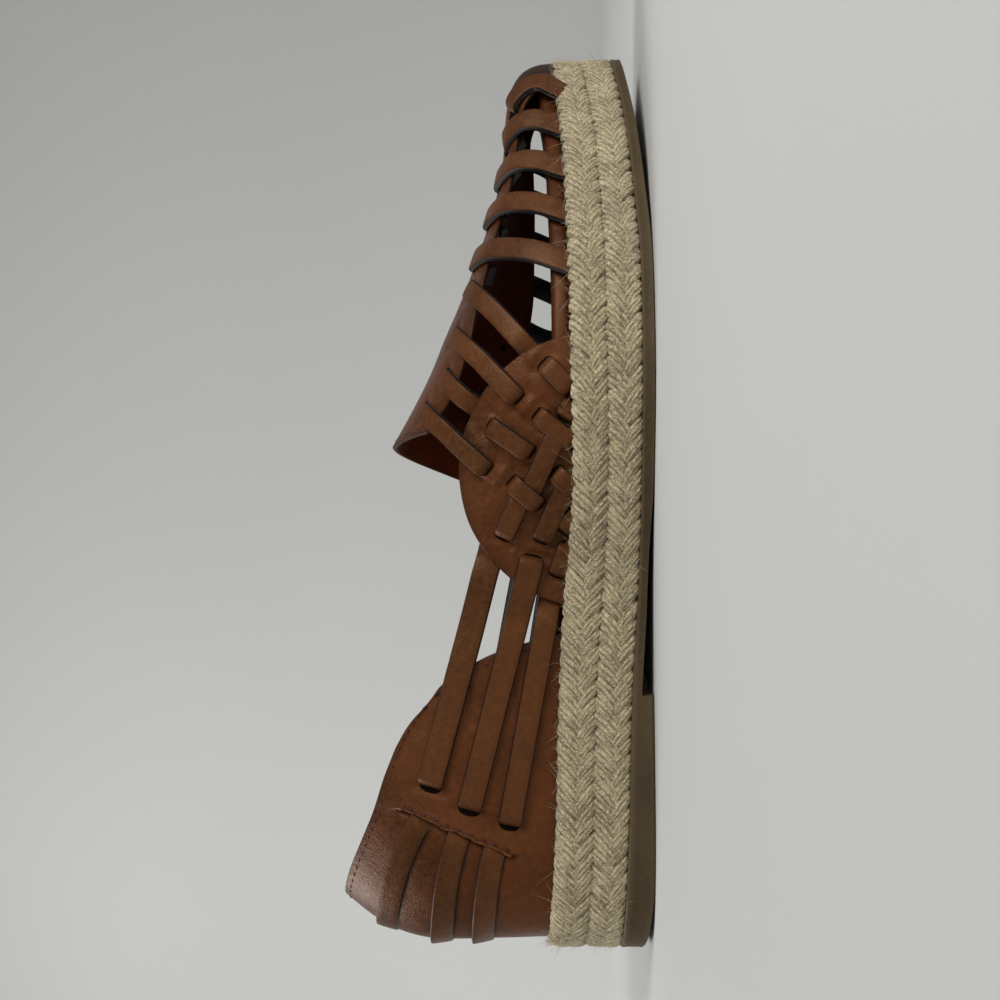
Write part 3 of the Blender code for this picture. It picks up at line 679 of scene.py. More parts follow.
def make_piece(name, points, faces, materials, stands=UPPER, indices=None, marks=None, uv=None):
    """New object of the shoe, with its materials and its place in the frame."""
    piece = new_object(name, points, faces)
    mesh = piece.data
    for material in materials:
        mesh.materials.append(material)
    if indices is not None:
        mesh.polygons.foreach_set("material_index", np.asarray(indices, np.int32))
    for key, values in (marks or {}).items():
        layer = mesh.attributes.new(key, "FLOAT", "POINT")
        layer.data.foreach_set("value", np.asarray(values, np.float32).ravel())
    if uv is not None:
        loops = np.zeros(len(mesh.loops), np.int32)
        mesh.loops.foreach_get("vertex_index", loops)
        layer = mesh.uv_layers.new(name="UVMap")
        layer.data.foreach_set("uv", np.asarray(uv, np.float32)[loops].ravel())
    slot, nodes = stands
    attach(piece, "root")
    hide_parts(*nodes)
    return piece


def joined(parts):
    """Points and faces of many small meshes as one."""
    points, faces, offset = [], [], 0
    for part_points, part_faces in parts:
        points.append(part_points)
        faces += [[offset + i for i in face] for face in part_faces]
        offset += len(part_points)
    return np.concatenate(points), faces


def grid_normals(points):
    """Outward unit normals of a grid of points on the last."""
    normals = unit(np.cross(np.gradient(points, axis=0), np.gradient(points, axis=1)))
    outward = points - INSIDE
    outward[..., 1] = 0.0
    return normals * np.sign((normals * outward).sum())


def segment_distance(points, start, end):
    """Distance from each point to a straight line between two points."""
    start, end = np.asarray(start), np.asarray(end)
    along = end - start
    t = np.clip(((points - start) @ along) / (along @ along), 0.0, 1.0)
    return np.linalg.norm(points - start - t[..., None] * along, axis=-1)


def path_distance(points, path):
    """Distance from each point to a path of points."""
    nearest = np.full(points.shape[:-1], 1e9)
    for start, end in zip(path[:-1], path[1:]):
        nearest = np.minimum(nearest, segment_distance(points, start, end))
    return nearest


EDGE_FADE = 1.3
RIM_BEVEL = 0.35
# Rings of a panel's rim, in bevels: how far out, how far from the face, and which face
RimRing = namedtuple("RimRing", "reach level from_top")
RIM_RINGS = table(RimRing, (0.6, 0.25, True), (1.0, 1.0, True), (1.0, 1.0, False))


def panel(name, base, layer, relief, painted_shade):
    """Leather panel over a grid on the last, its outer face in relief; returns that face."""
    rows, columns = base.shape[:2]
    normals = grid_normals(base)
    outer = layer.outer + relief
    top = base + normals * outer[..., None]
    bottom = base + normals * layer.inner
    rim = [(0, c) for c in range(columns)]
    rim += [(r, columns - 1) for r in range(1, rows)]
    rim += [(rows - 1, c) for c in range(columns - 2, -1, -1)]
    rim += [(r, 0) for r in range(rows - 2, 0, -1)]
    r, c = np.array(rim).T
    out = base[r, c] - base[np.clip(r, 1, rows - 2), np.clip(c, 1, columns - 2)]
    out = unit(out - normals[r, c] * (out * normals[r, c]).sum(-1, keepdims=True))
    rings = []
    for reach, level, from_top in RIM_RINGS:
        height = outer[r, c] if from_top else np.full(len(rim), layer.inner)
        height = height + RIM_BEVEL * (-level if from_top else level)
        rings.append(base[r, c] + normals[r, c] * height[:, None] + out * RIM_BEVEL * reach)
    size = rows * columns
    count = len(rim)
    points = np.concatenate([top.reshape(-1, 3), bottom.reshape(-1, 3), *rings])
    faces = grid_faces(rows, columns) + grid_faces(rows, columns, size, True)
    materials = (LEATHER, PANEL_EDGE, LINING)
    outside, side, inside = range(len(materials))
    quads = (rows - 1) * (columns - 1)
    indices = [outside] * quads + [inside] * quads
    loop = r * columns + c
    chain = [loop] + [2 * size + k * count + np.arange(count) for k in range(3)] + [size + loop]
    for level, (high, low) in enumerate(zip(chain[:-1], chain[1:])):
        step = np.roll(np.arange(count), -1)
        faces += np.stack([high, low, low[step], high[step]], axis=1).tolist()
        indices += [outside if level == 0 else side] * count
    distance = border_distance(base)
    edge = np.concatenate([np.exp(-distance / EDGE_FADE).ravel(), np.zeros(size), np.ones(3 * count)])
    # Painted shade on the outer face only
    painted_shade = np.concatenate([painted_shade.ravel(), np.zeros(size + 3 * count)])
    make_piece(name, points, faces, materials, UPPER, indices, {"edge": edge, "painted_shade": painted_shade})
    return BVHTree.FromPolygons(top.reshape(-1, 3).tolist(), grid_faces(rows, columns))


def border_distance(base):
    """Distance along the grid from each point to the nearest border."""
    nearest = None
    for axis in (0, 1):
        steps = np.linalg.norm(np.diff(base, axis=axis), axis=-1)
        pad = [(1, 0) if k == axis else (0, 0) for k in range(2)]
        along = np.cumsum(np.pad(steps, pad), axis=axis)
        total = along.take([-1], axis=axis)
        here = np.minimum(along, total - along)
        nearest = here if nearest is None else np.minimum(nearest, here)
    return nearest


# Straps

STRAP_THICKNESS = 1.7
# A strap's end in a slot: radius of its roll, stretch below it, width left, and how dark it is painted
# with shade as it dives
ROLL = 1.0
TAIL = 1.2
TAPER = 0.88
END_SHADE = 0.9
STRAP_STEP = 0.8
NORMAL_SMOOTHING = 4
STRAP_MATERIALS = (STRAP_LEATHER, CUT_EDGE, EDGE_LINE, FLESH)
FACE, CUT, LINE, BACK = range(len(STRAP_MATERIALS))
# Section of a strap: across as a share of the half width, height as a share of
# the thickness, the material of the stretch to the next point, and its wear
SectionPoint = namedtuple("SectionPoint", "across height material wear")
SECTION = table(
    SectionPoint,
    (-0.98, 0.84, FACE, 0.9),
    (-0.94, 0.95, FACE, 0.8),
    (-0.86, 1.0, FACE, 0.3),
    (-0.45, 1.03, FACE, 0.0),
    (0.0, 1.04, FACE, 0.0),
    (0.45, 1.03, FACE, 0.0),
    (0.86, 1.0, FACE, 0.3),
    (0.94, 0.95, FACE, 0.8),
    (0.98, 0.84, CUT, 0.9),
    (1.04, 0.36, LINE, 0.0),
    (1.04, 0.2, CUT, 0.0),
    (0.93, 0.0, BACK, 0.0),
    (0.0, 0.0, BACK, 0.0),
    (-0.93, 0.0, CUT, 0.0),
    (-1.04, 0.2, LINE, 0.0),
    (-1.04, 0.36, CUT, 0.0),
)


def surface_path(points, spacing=STRAP_STEP):
    """Evenly spaced points and outward normals along a line on the last."""
    line = refine(np.array([tuple(p) for p in points]), 8)
    line = resample(line, max(int(distance_along(line)[-1] / spacing), 6))
    normals = np.array([tuple(LAST.find_nearest(Vector(p))[1]) for p in line])
    facing = np.sign((normals * (line - INSIDE)).sum(-1, keepdims=True))
    normals = unit(normals * np.where(facing == 0, 1, facing))
    for _ in range(NORMAL_SMOOTHING):
        normals[1:-1] = unit(normals[:-2] + normals[1:-1] + normals[2:])
    return line, normals


def end_profile(kind):
    """Distances in from a strap's end, and how far it has dropped there into its slot."""
    if kind != SLOT:
        return np.array([0.0, ROLL / 2]), np.zeros(2)
    arc = np.radians(np.linspace(0.0, 90.0, 7))[:-1]
    return np.append(0.0, ROLL * (1 - np.cos(arc))), np.append(ROLL + TAIL, ROLL * (1 - np.sin(arc)))


def rolled(strap):
    """A strap's centre line at its heights with its ends rolled into slots, the upward
    directions, and how far each point has dived."""
    along = distance_along(strap.line)
    first = STRAP_THICKNESS if strap.start == SLOT else 0.0
    last = along[-1] - (STRAP_THICKNESS if strap.end == SLOT else 0.0)
    middle = np.linspace(first + ROLL, last - ROLL, max(int((last - first) / STRAP_STEP), 4))
    start_at, start_drop = end_profile(strap.start)
    end_at, end_drop = end_profile(strap.end)
    at = np.concatenate([first + start_at, middle, last - end_at[::-1]])
    drop = np.concatenate([start_drop, np.zeros(len(middle)), end_drop[::-1]])
    base = look_up(at, along, strap.line)
    up = unit(look_up(at, along, strap.normals))
    height = np.interp(at, along, strap.heights) - drop
    return base + up * height[:, None], up, np.clip(drop / ROLL, 0.0, 1.0)


def make_strap(strap):
    """Strap with a rounded top, painted edges and a dark back, along its underside's line."""
    centre, up, dive = rolled(strap)
    tangent = unit(np.gradient(centre, axis=0))
    across = unit(np.cross(tangent, up))
    normal = unit(np.cross(across, tangent))
    half = strap.width / 2 * (1 - (1 - TAPER) * dive ** 1.3)
    points = []
    for row in SECTION:
        lift = row.height * STRAP_THICKNESS + strap.tilt * (row.across + 1) / 2
        points.append(centre + across * (row.across * half)[:, None] + normal * lift)
    rings = np.stack(points, axis=1)
    count, sides = rings.shape[:2]
    indices = [row.material for row in SECTION] * (count - 1) + [CUT, CUT]
    # Worn, painted edges of the section, and painted shade on the end as it dives into its slot
    wear = np.maximum([row.wear for row in SECTION], END_SHADE * dive[:, None] ** 1.5)
    make_piece(strap.name, rings.reshape(-1, 3), tube_faces(count, sides), STRAP_MATERIALS, UPPER,
               indices, {"edge": wear})


# Panels of the upper, as grids on the last

def dense(rows, steps):
    """Smooth dense grid of points through coarse rows of points."""
    grid = np.array([[tuple(point) for point in row] for row in rows])
    grid = refine(refine(grid, steps[0]), steps[1], 1)
    for _ in range(GRID_SMOOTHING):
        around = (grid[:-2, 1:-1] + grid[2:, 1:-1] + grid[1:-1, :-2] + grid[1:-1, 2:]) / 4
        grid[1:-1, 1:-1] += (around - grid[1:-1, 1:-1]) / 2
    return grid


GRID_SMOOTHING = 8
SPINE_ROWS = 4
SPINE_COLUMNS = 16
SPINE_STEPS = (7, 4)
MEDALLION_SPANS = (36, 10)
MEDALLION_STEPS = (7, 7)
COUNTER_SPANS = (44, 12)
COUNTER_STEPS = (8, 8)


def fan_angle(y, z, side):
    """Angle from straight up, seen along the shoe, of a point drawn in side view."""
    point = side_point(y, z, side)
    return math.atan2(point.x - crown_x(y), point.z - wrap_top(y))


def spine_base():
    """Rows across the vamp from the tongue end to the toe, then down its front."""
    grid = []
    edges = [Spine(*row) for row in refine(np.array(SPINE), SPINE_ROWS)]
    shares = [c / SPINE_COLUMNS for c in range(SPINE_COLUMNS + 1)]
    for r, edge in enumerate(edges):
        start = fan_angle(edge.lateral_y, edge.lateral_z, LATERAL)
        end = fan_angle(edge.medial_y, edge.medial_z, MEDIAL)
        row = []
        for across in shares:
            bow = TONGUE_BOW * math.sin(math.pi * across) * max(1.0 - r / SPINE_ROWS, 0.0)
            y = edge.lateral_y + (edge.medial_y - edge.lateral_y) * across + bow
            row.append(fan_point(y, 0.0, start + (end - start) * across))
        grid.append(row)
    spread = math.radians(SPINE_TOE_SPREAD)
    for pitch in refine(np.array((0.0, *SPINE_TOE_PITCHES)), 2)[1:]:
        share = pitch / SPINE_TOE_PITCHES[-1]
        row = []
        for across in shares:
            wide = start + (end - start) * across
            narrow = spread * (1 - 2 * across)
            row.append(fan_point(SPINE[-1].lateral_y, math.radians(pitch),
                                 wide + (narrow - wide) * share))
        grid.append(row)
    return dense(grid, SPINE_STEPS)


def medallion_base(side):
    """Half-round side piece: columns along the sole, rows up to its arc."""
    columns, rows = MEDALLION_SPANS
    centre = MEDALLION_CENTRE_Y + (0.0 if side == LATERAL else MEDIAL_MEDALLION_SHIFT)
    half = math.sqrt(MEDALLION_RADIUS ** 2 - (wrap_top(centre) - MEDALLION_CENTRE_Z) ** 2)
    grid = []
    for c in range(columns + 1):
        y = centre - half * math.cos(math.pi * c / columns)
        reach = max(MEDALLION_RADIUS ** 2 - (y - centre) ** 2, 0.0)
        low = wrap_top(y) - FOOT_DROP
        high = max(MEDALLION_CENTRE_Z + math.sqrt(reach), low + 2 * FOOT_DROP)
        grid.append([side_point(y, low + (high - low) * r / rows, side) for r in range(rows + 1)])
    return dense(grid, MEDALLION_STEPS)


def counter_setback(side):
    return 0.0 if side == LATERAL else MEDIAL_COUNTER_SETBACK


def counter_front_y(z, side):
    return interpolate(COUNTER_FRONT, "z", "y", z) - counter_setback(side)


def counter_point(turn, rise):
    """Point of the counter; turn runs from 1 at the lateral front to -1 at the medial one."""
    side = LATERAL if turn >= 0 else MEDIAL
    corner = TOPLINE[-1].z
    base = wrap_top(HEEL_AXIS_Y - HEEL_RADIUS * math.cos(turn * math.pi / 2)) - FOOT_DROP
    z_front = base + (corner - base) * rise
    front = side_point(counter_front_y(z_front, side), z_front, side)
    reach = math.atan2(abs(front.x), HEEL_AXIS_Y - front.y)
    top = corner
    for _ in range(3):
        edge_y = heel_point(reach * turn, top).y + counter_setback(side) * abs(turn)
        top = interpolate(TOPLINE, "y", "z", edge_y)
    return heel_point(reach * turn, base + (top - base) * rise)


def counter_base():
    """Columns round the heel from lateral to medial, rows from sole to topline."""
    columns, rows = COUNTER_SPANS
    turns = [1 - 2 * c / columns for c in range(columns + 1)]
    return dense([[counter_point(turn, r / rows) for r in range(rows + 1)] for turn in turns],
                 COUNTER_STEPS)


SPINE_BASE = spine_base()
COUNTER_BASE = counter_base()
MEDALLION_BASE = {side: medallion_base(side) for side in SIDES}


def point_tree(points):
    points = np.asarray(points).reshape(-1, 3)
    tree = KDTree(len(points))
    for i, point in enumerate(points):
        tree.insert(point, i)
    tree.balance()
    return tree


SPINE_TREE = point_tree(SPINE_BASE[::2, ::2])
COUNTER_TREE = point_tree(COUNTER_BASE[::2, ::2])
MEDALLION_TREE = {side: point_tree(MEDALLION_BASE[side][::2, ::2]) for side in SIDES}


def gap_to(tree, points):
    """Distance from each point to the nearest point of a panel."""
    return np.array([tree.find(point)[2] for point in points])


# Where the straps run

Strap = namedtuple("Strap", "name line normals heights start end width tilt", defaults=(0.0,))
# Heights of a strap's underside over the last: in the open, over a panel, under one, sunk
# into the counter, and tucked into the counter's slit
OPEN_LIFT = 0.4
PANEL_LIFT = 1.75
UNDER_LIFT = -1.75
SUNK_LIFT = 0.45
TUCK_LIFT = -1.6
HEEL_STRAP_TILT = 1.15
# Distances from the slit or from a panel over which a strap changes its height
SLIT_TUCK = (-0.4, 2.2)
LIFT_REACH = (1.0, 11.0)
DIVE_REACH = (0.6, 4.5)
# Where the loop of the loose strap is highest, and how far it reaches to both sides
LOOP_AT = 5.2
LOOP_REACH = 3.4
TOE_STRAP_WIDTH = 6.3
TOE_STRAP_STEPS = 10
TAIL_WIDTH = 6.0
TAIL_TURN = 87.0
TAIL_OVERLAP = 2.0
HEEL_STRAP_WIDTH = 6.2
HEEL_STRAP_STEPS = 32
HEIGHT_SMOOTHING = 3


def lift_over(line, trees, under=None):
    """Height of a strap's underside: over some panels, under another, low in the open."""
    height = np.full(len(line), OPEN_LIFT)
    for tree in trees:
        near = 1 - smooth_step(*LIFT_REACH, gap_to(tree, line))
        height = np.maximum(height, OPEN_LIFT + (PANEL_LIFT - OPEN_LIFT) * near)
    if under is not None:
        near = 1 - smooth_step(*DIVE_REACH, gap_to(under, line))
        height += (UNDER_LIFT - height) * near
    for _ in range(HEIGHT_SMOOTHING):
        height[1:-1] = (height[:-2] + height[1:-1] + height[2:]) / 3
    return height


def side_strap(row):
    """Strap of one side from its row of the table."""
    line, normals = surface_path(
        side_line(row.start_y, row.start_z, row.end_y, row.end_z, row.side, 9))
    disc = MEDALLION_TREE[row.side]
    if UNDER in (row.start, row.end):
        heights = lift_over(line, (SPINE_TREE, COUNTER_TREE), disc)
    else:
        heights = lift_over(line, (SPINE_TREE, COUNTER_TREE, disc))
    heights += RAISED.get(row.name, 0.0)
    if (row.name, row.side) in LOOSE:
        along = np.linalg.norm(line - line[0], axis=1)
        heights += fade(along - LOOP_AT, LOOSE[row.name, row.side], LOOP_REACH)
    name = f"{row.name}_{SIDE_NAMES[row.side]}"
    return Strap(name, line, normals, heights, row.start, row.end, row.width)


def weave_row(row, side):
    shift = 0.0 if side == LATERAL else MEDIAL_MEDALLION_SHIFT
    return Side(row.name, side, row.start_y + shift, row.start_z, row.end_y + shift, row.end_z,
                SLOT, SLOT, row.width)


def wall_line(foot_y, side, back, rises):
    """Line up the last from the sole, leaning to the toe and then back as it rises."""
    leans = [LEAN_RISE * max(rise, 0.0) - back * rise ** 2 for rise in rises]
    return surface_path([last_point(foot_at(foot_y + shift, side), rise)
                         for rise, shift in zip(rises, leans)])


def toe_straps(row, index, side):
    """Strap from the sole over the spine's margin into its slot, and its tail inside the shoe."""
    name = SIDE_NAMES[side]
    foot_y = getattr(row, f"{name}_y")
    turn = getattr(row, f"{name}_turn")
    low = -FOOT_DROP / (crown_above(foot_at(foot_y, side)).z - wrap_top(foot_y))
    rises = [low] + [math.sin(math.radians(turn) * i / TOE_STRAP_STEPS)
                     for i in range(1, TOE_STRAP_STEPS + 1)]
    line, normals = wall_line(foot_y, side, row.back, rises)
    strap = Strap(f"toe_strap_{index}_{name}", line, normals, lift_over(line, (SPINE_TREE,)),
                  UNDER, SLOT, TOE_STRAP_WIDTH)
    rises = [math.sin(math.radians(angle)) for angle in np.linspace(turn - TAIL_OVERLAP, TAIL_TURN, 6)]
    line, normals = wall_line(foot_y, side, row.back, rises)
    tail = Strap(f"toe_strap_tail_{index}_{name}", line, normals, np.full(len(line), UNDER_LIFT),
                 UNDER, UNDER, TAIL_WIDTH)
    return strap, tail


def heel_strap(row, index):
    """Strap round the counter, tucked into the slit at both sides."""
    slit = side_point(row.slit_y, row.slit_z, LATERAL)
    reach = math.atan2(slit.x, HEEL_AXIS_Y - slit.y)
    points = []
    for i in range(HEEL_STRAP_STEPS + 1):
        turn = 1 - 2 * i / HEEL_STRAP_STEPS
        lift = math.cos(turn * math.pi / 2) ** HEEL_STRAP_EASE if abs(turn) < 1 else 0.0
        points.append(heel_point(reach * turn, row.slit_z + (row.back_z - row.slit_z) * lift))
    line, normals = surface_path(points)
    along = distance_along(line)
    inward = np.minimum(along, along[-1] - along)
    heights = TUCK_LIFT + (SUNK_LIFT - TUCK_LIFT) * smooth_step(*SLIT_TUCK, inward)
    return Strap(f"heel_strap_{index}", line, normals, heights, UNDER, UNDER, HEEL_STRAP_WIDTH,
                 HEEL_STRAP_TILT)


TOE, TAILS = map(list, zip(*(
    toe_straps(row, i + 1, side) for side in SIDES for i, row in enumerate(TOE_STRAPS)
)))
FLANK = [side_strap(row) for row in SIDE_STRAPS]
WOVEN = [side_strap(weave_row(row, side)) for side in SIDES for row in WEAVE]
HEEL = [heel_strap(row, i + 1) for i, row in enumerate(HEEL_STRAPS)]
STRAPS = TOE + FLANK + WOVEN + HEEL


# Relief of the panels

# How near to a panel a strap's end counts as its slot, and how far ahead the pull lies
SLOT_NEAR = 1.2
SLOT_AHEAD = 0.5
WAVE = 0.4
WAVE_STEP = 6
SPINE_WAVE_SIZE = 11.0
MEDALLION_WAVE_SIZE = 9.0
COUNTER_WAVE_SIZE = 14.0
# What stands out or in, or carries painted shade, at a line, and how wide it is there
SLOT_PULL = (0.6, 1.9)
BULGE = (0.75, 2.6)
SLIT_LIP = (0.75, 2.6)
SLIT_SINK = (1.3, 1.3)
SLIT_SHADE = (0.9, 0.55)
STRAP_SHADE = (0.85, 0.4)
STRAP_SHADE_OFF = 0.1
SLIT_POINTS = 15
CREASE_POINTS = 5
STRAP_EDGE_POINTS = 48
TOE_SHADE = 0.8
TOE_SHADE_FADE = (218.5, 223.0)

# Inner and outer face of each panel, measured out from the last
Layer = namedtuple("Layer", "inner outer")
SPINE_LAYER = Layer(0.25, 1.5)
MEDALLION_LAYER = Layer(0.1, 1.7)
COUNTER_LAYER = Layer(0.0, 1.7)

# Mouths of the slots, dark sheets of painted shade: half opening, how far they bow out and how
# far they lie past the strap's end
Mouth = namedtuple("Mouth", "gape bow past")
SPINE_MOUTH = Mouth(1.3, 0.5, 0.6)
MEDALLION_MOUTH = Mouth(0.3, 0.12, 0.1)
COUNTER_MOUTH = Mouth(0.75, 0.4, 0.25)
# Shape that all mouths share: how far their corners turn back, how far they are wider
# than the strap, their least half opening, and how far they lie off the leather
MOUTH_POINTS = 15
MOUTH_CORNER = 0.9
MOUTH_MARGIN = 0.1
MOUTH_LEAST = 0.02
MOUTH_LIFT = 0.05
SKIN_SEARCH = 1.7


def slot_ends(tree):
    """End, outward direction, normal and width of each strap end that enters a panel."""
    found = []
    for strap in STRAPS:
        for i, j, kind in ((0, 1, strap.start), (-1, -2, strap.end)):
            if kind == SLOT and gap_to(tree, [strap.line[i]])[0] < SLOT_NEAR:
                out = unit(strap.line[i] - strap.line[j])
                found.append((strap.line[i], out, strap.normals[i], strap.width))
    return found


def slot_relief(base, tree):
    """How far the leather is pulled in around a panel's slots."""
    depth = np.zeros(base.shape[:2])
    for end, out, normal, width in slot_ends(tree):
        across = unit(np.cross(out, normal)) * width / 2
        middle = end + out * SLOT_AHEAD
        near = segment_distance(base, middle - across, middle + across)
        depth = np.maximum(depth, fade(near, *SLOT_PULL))
    return depth


def make_slot_shade(name, skin, tree, mouth):
    """Dark sheets of painted shade in the mouths that the strap ends of a panel go down into."""
    share = np.linspace(-1.0, 1.0, MOUTH_POINTS)
    half = mouth.gape * np.sqrt(np.maximum(1 - share ** 2, 0.0)) + MOUTH_LEAST
    mouths = []
    for end, out, normal, width in slot_ends(tree):
        across = unit(np.cross(out, normal))
        along = mouth.past + mouth.bow * (1 - share ** 2) - MOUTH_CORNER * np.abs(share) ** 6
        middle = end + across * (share * (width / 2 + MOUTH_MARGIN))[:, None] + out * along[:, None]
        points = []
        for row in (-1.0, 0.0, 1.0):
            for point in middle + out * (row * half)[:, None]:
                on_skin, facing, _, _ = skin.find_nearest(Vector(point + normal * SKIN_SEARCH))
                lift = math.copysign(MOUTH_LIFT, facing.dot(Vector(normal)))
                points.append(tuple(on_skin + facing * lift))
        mouths.append((points, grid_faces(3, MOUTH_POINTS)))
    make_piece(name, *joined(mouths), (SLOT_SHADE,))


def waves(base, size, seed):
    """Slow unevenness of hand-worked leather, from -1 to 1."""
    offset = Vector((seed * 37.0, seed * 11.0, 0.0))
    coarse = base[::WAVE_STEP, ::WAVE_STEP]
    values = np.array([[value_noise.noise(Vector(p) / size + offset) for p in row] for row in coarse])
    rows = np.linspace(0, len(coarse) - 1, base.shape[0])
    columns = np.linspace(0, coarse.shape[1] - 1, base.shape[1])
    across = look_up(columns, np.arange(coarse.shape[1]), values.T).T
    return look_up(rows, np.arange(len(coarse)), across)


# Creases of the medallions and the counter: start (y, z), end (y, z), depth, width;
# a negative depth stands out as a ridge
DISC_CREASES = [
    ((127.0, 37.5), (121.5, 42.0), 0.45, 1.3),
    ((119.0, 46.0), (112.0, 41.5), 0.50, 1.5),
    ((110.0, 37.0), (105.0, 39.0), -0.35, 1.4),
    ((106.0, 46.5), (99.5, 43.5), 0.45, 1.4),
    ((131.5, 27.0), (125.5, 25.0), 0.40, 1.3),
    ((92.0, 42.5), (86.0, 37.0), 0.35, 1.5),
    ((84.0, 36.0), (79.5, 30.0), -0.30, 1.6),
]
HEEL_CREASES = [
    ((46.0, 58.5), (36.0, 62.5), 0.40, 1.6),
    ((47.5, 50.0), (38.0, 49.0), 0.45, 1.5),
    ((50.0, 40.0), (40.0, 34.5), 0.45, 1.6),
    ((34.0, 57.0), (24.0, 61.0), -0.30, 2.2),
    ((36.0, 31.0), (22.0, 27.5), 0.35, 2.0),
]


def creases(base, rows, side):
    """How far the listed creases of one side pull its leather in."""
    depth = np.zeros(base.shape[:2])
    for start, end, deep, width in rows:
        path = np.array(side_line(*start, *end, side, CREASE_POINTS))
        depth += fade(path_distance(base, path), deep, width)
    return depth


def make_spine():
    relief = WAVE * waves(SPINE_BASE, SPINE_WAVE_SIZE, 1) - slot_relief(SPINE_BASE, SPINE_TREE)
    shade = TOE_SHADE * smooth_step(*TOE_SHADE_FADE, SPINE_BASE[..., 1])
    skin = panel("vamp_spine", SPINE_BASE, SPINE_LAYER, relief, shade)
    make_slot_shade("vamp_slot_shade", skin, SPINE_TREE, SPINE_MOUTH)


def make_medallion(side):
    base, tree, name = MEDALLION_BASE[side], MEDALLION_TREE[side], SIDE_NAMES[side]
    depth = slot_relief(base, tree)
    ends = {strap.name: strap.line for strap in FLANK + WOVEN}
    bulge = np.zeros(base.shape[:2])
    for before, after in UNDERPASSES:
        near = segment_distance(base, ends[f"{before}_{name}"][-1], ends[f"{after}_{name}"][0])
        bulge = np.maximum(bulge, fade(near, *BULGE, power=4))
    relief = bulge * np.exp(-depth) + WAVE * waves(base, MEDALLION_WAVE_SIZE, 2 + side) - depth
    relief -= creases(base, DISC_CREASES, side)
    skin = panel(f"medallion_{name}", base, MEDALLION_LAYER, relief, np.zeros(base.shape[:2]))
    make_slot_shade(f"medallion_slots_{name}", skin, tree, MEDALLION_MOUTH)


def slit_lines():
    """The slit on each side as a line of points on the last, top end first."""
    return [np.array(side_line(*SLIT[0], *SLIT[1], side, SLIT_POINTS)) for side in SIDES]


def strap_edge(strap, beyond):
    """Line beside a strap, on the side of the sole."""
    line = resample(np.concatenate([strap.line, strap.normals], axis=1), STRAP_EDGE_POINTS)
    along = np.gradient(line[:, :3], axis=0)
    across = unit(np.cross(along, line[:, 3:]))
    across *= -np.sign(across[:, 2:])
    return line[:, :3] + across * (strap.width / 2 + beyond)


def make_counter():
    base = COUNTER_BASE
    relief = WAVE * waves(base, COUNTER_WAVE_SIZE, 5) - slot_relief(base, COUNTER_TREE)
    # Painted shade: a dark line beside each heel strap on the sole's side, and along each slit
    dark = np.zeros(base.shape[:2])
    for strap in HEEL:
        near = path_distance(base, strap_edge(strap, STRAP_SHADE_OFF))
        dark = np.maximum(dark, fade(near, *STRAP_SHADE))
    for line in slit_lines():
        near = path_distance(base, line)
        ahead = np.sign(base[..., 1] - np.interp(base[..., 2], line[::-1, 2], line[::-1, 1]))
        relief += fade(near, *SLIT_LIP) * (ahead > 0) - fade(near, *SLIT_SINK) * (ahead <= 0)
        dark = np.maximum(dark, fade(near, *SLIT_SHADE))
    for side in SIDES:
        relief -= creases(base, HEEL_CREASES, side)
    skin = panel("heel_counter", base, COUNTER_LAYER, relief, dark)
    make_slot_shade("counter_slot_shade", skin, COUNTER_TREE, COUNTER_MOUTH)


# Stitching and raw edges

THREAD_RADIUS = 0.27
THREAD_TAPER = 0.35
STITCH_DIP = 0.55
STITCH_POINTS = 20
# Rows of stitches: from one stitch to the next, length of one, height over the last, and
# distance from the border
Seam = namedtuple("Seam", "pitch length lift margin")
TOPLINE_SEAM = Seam(2.6, 1.9, 1.72, 1.75)
TONGUE_SEAM = Seam(2.4, 1.7, 1.52, 1.6)
SLIT_SEAM = Seam(3.1, 1.8, 2.35, 1.3)
# The stretch of a border that a seam takes, in points of its panel's grid
FRONT_STRETCH = slice(24, -6)
TONGUE_STRETCH = slice(2, -2)
RAW_EDGE_STEP = 0.45
RAW_EDGE_AHEAD = 0.35
RAW_EDGE_LIFT = 2.2
RAW_EDGE_WANDER = (-0.3, 0.3)
RAW_EDGE_RISE = (-0.2, 0.25)
RAW_EDGE_RADIUS = (0.3, 0.46)


def tube(points, up, radius, sides):
    """Points and faces of a round, closed-ended tube along an open path."""
    tangent = unit(np.gradient(points, axis=0))
    across = unit(np.cross(tangent, up))
    normal = np.cross(across, tangent)
    angles = 2 * np.pi * np.arange(sides) / sides
    radius = np.broadcast_to(radius, len(points))[:, None, None]
    rings = (points[:, None] + radius * (across[:, None] * np.cos(angles)[:, None]
                                         + normal[:, None] * np.sin(angles)[:, None]))
    return rings.reshape(-1, 3), tube_faces(len(points), sides)


def stitches(name, line, normals, seam):
    """Row of thread stitches that dip into the leather at both ends."""
    count = int(distance_along(line)[-1] / seam.pitch)
    track = resample(np.concatenate([line, normals], axis=1), count * STITCH_POINTS + 1)
    threads = []
    half = int(STITCH_POINTS / 2 * seam.length / seam.pitch)
    for i in range(count):
        middle = i * STITCH_POINTS + STITCH_POINTS // 2
        rows = track[middle - half:middle + half + 1:max(half // 3, 1)]
        up = unit(rows[:, 3:])
        share = np.linspace(-1.0, 1.0, len(rows))
        path = rows[:, :3] + up * (seam.lift - STITCH_DIP * share ** 4)[:, None]
        threads.append(tube(path, up, THREAD_RADIUS * (1 - THREAD_TAPER * share ** 4), 6))
    make_piece(name, *joined(threads), (THREAD,))


def beside_border(base, border, inner, distance):
    """Line on a panel at a distance in from its border, with its normals."""
    normals = grid_normals(base)
    line = base[border] + unit(base[inner] - base[border]) * distance
    return line, normals[border]


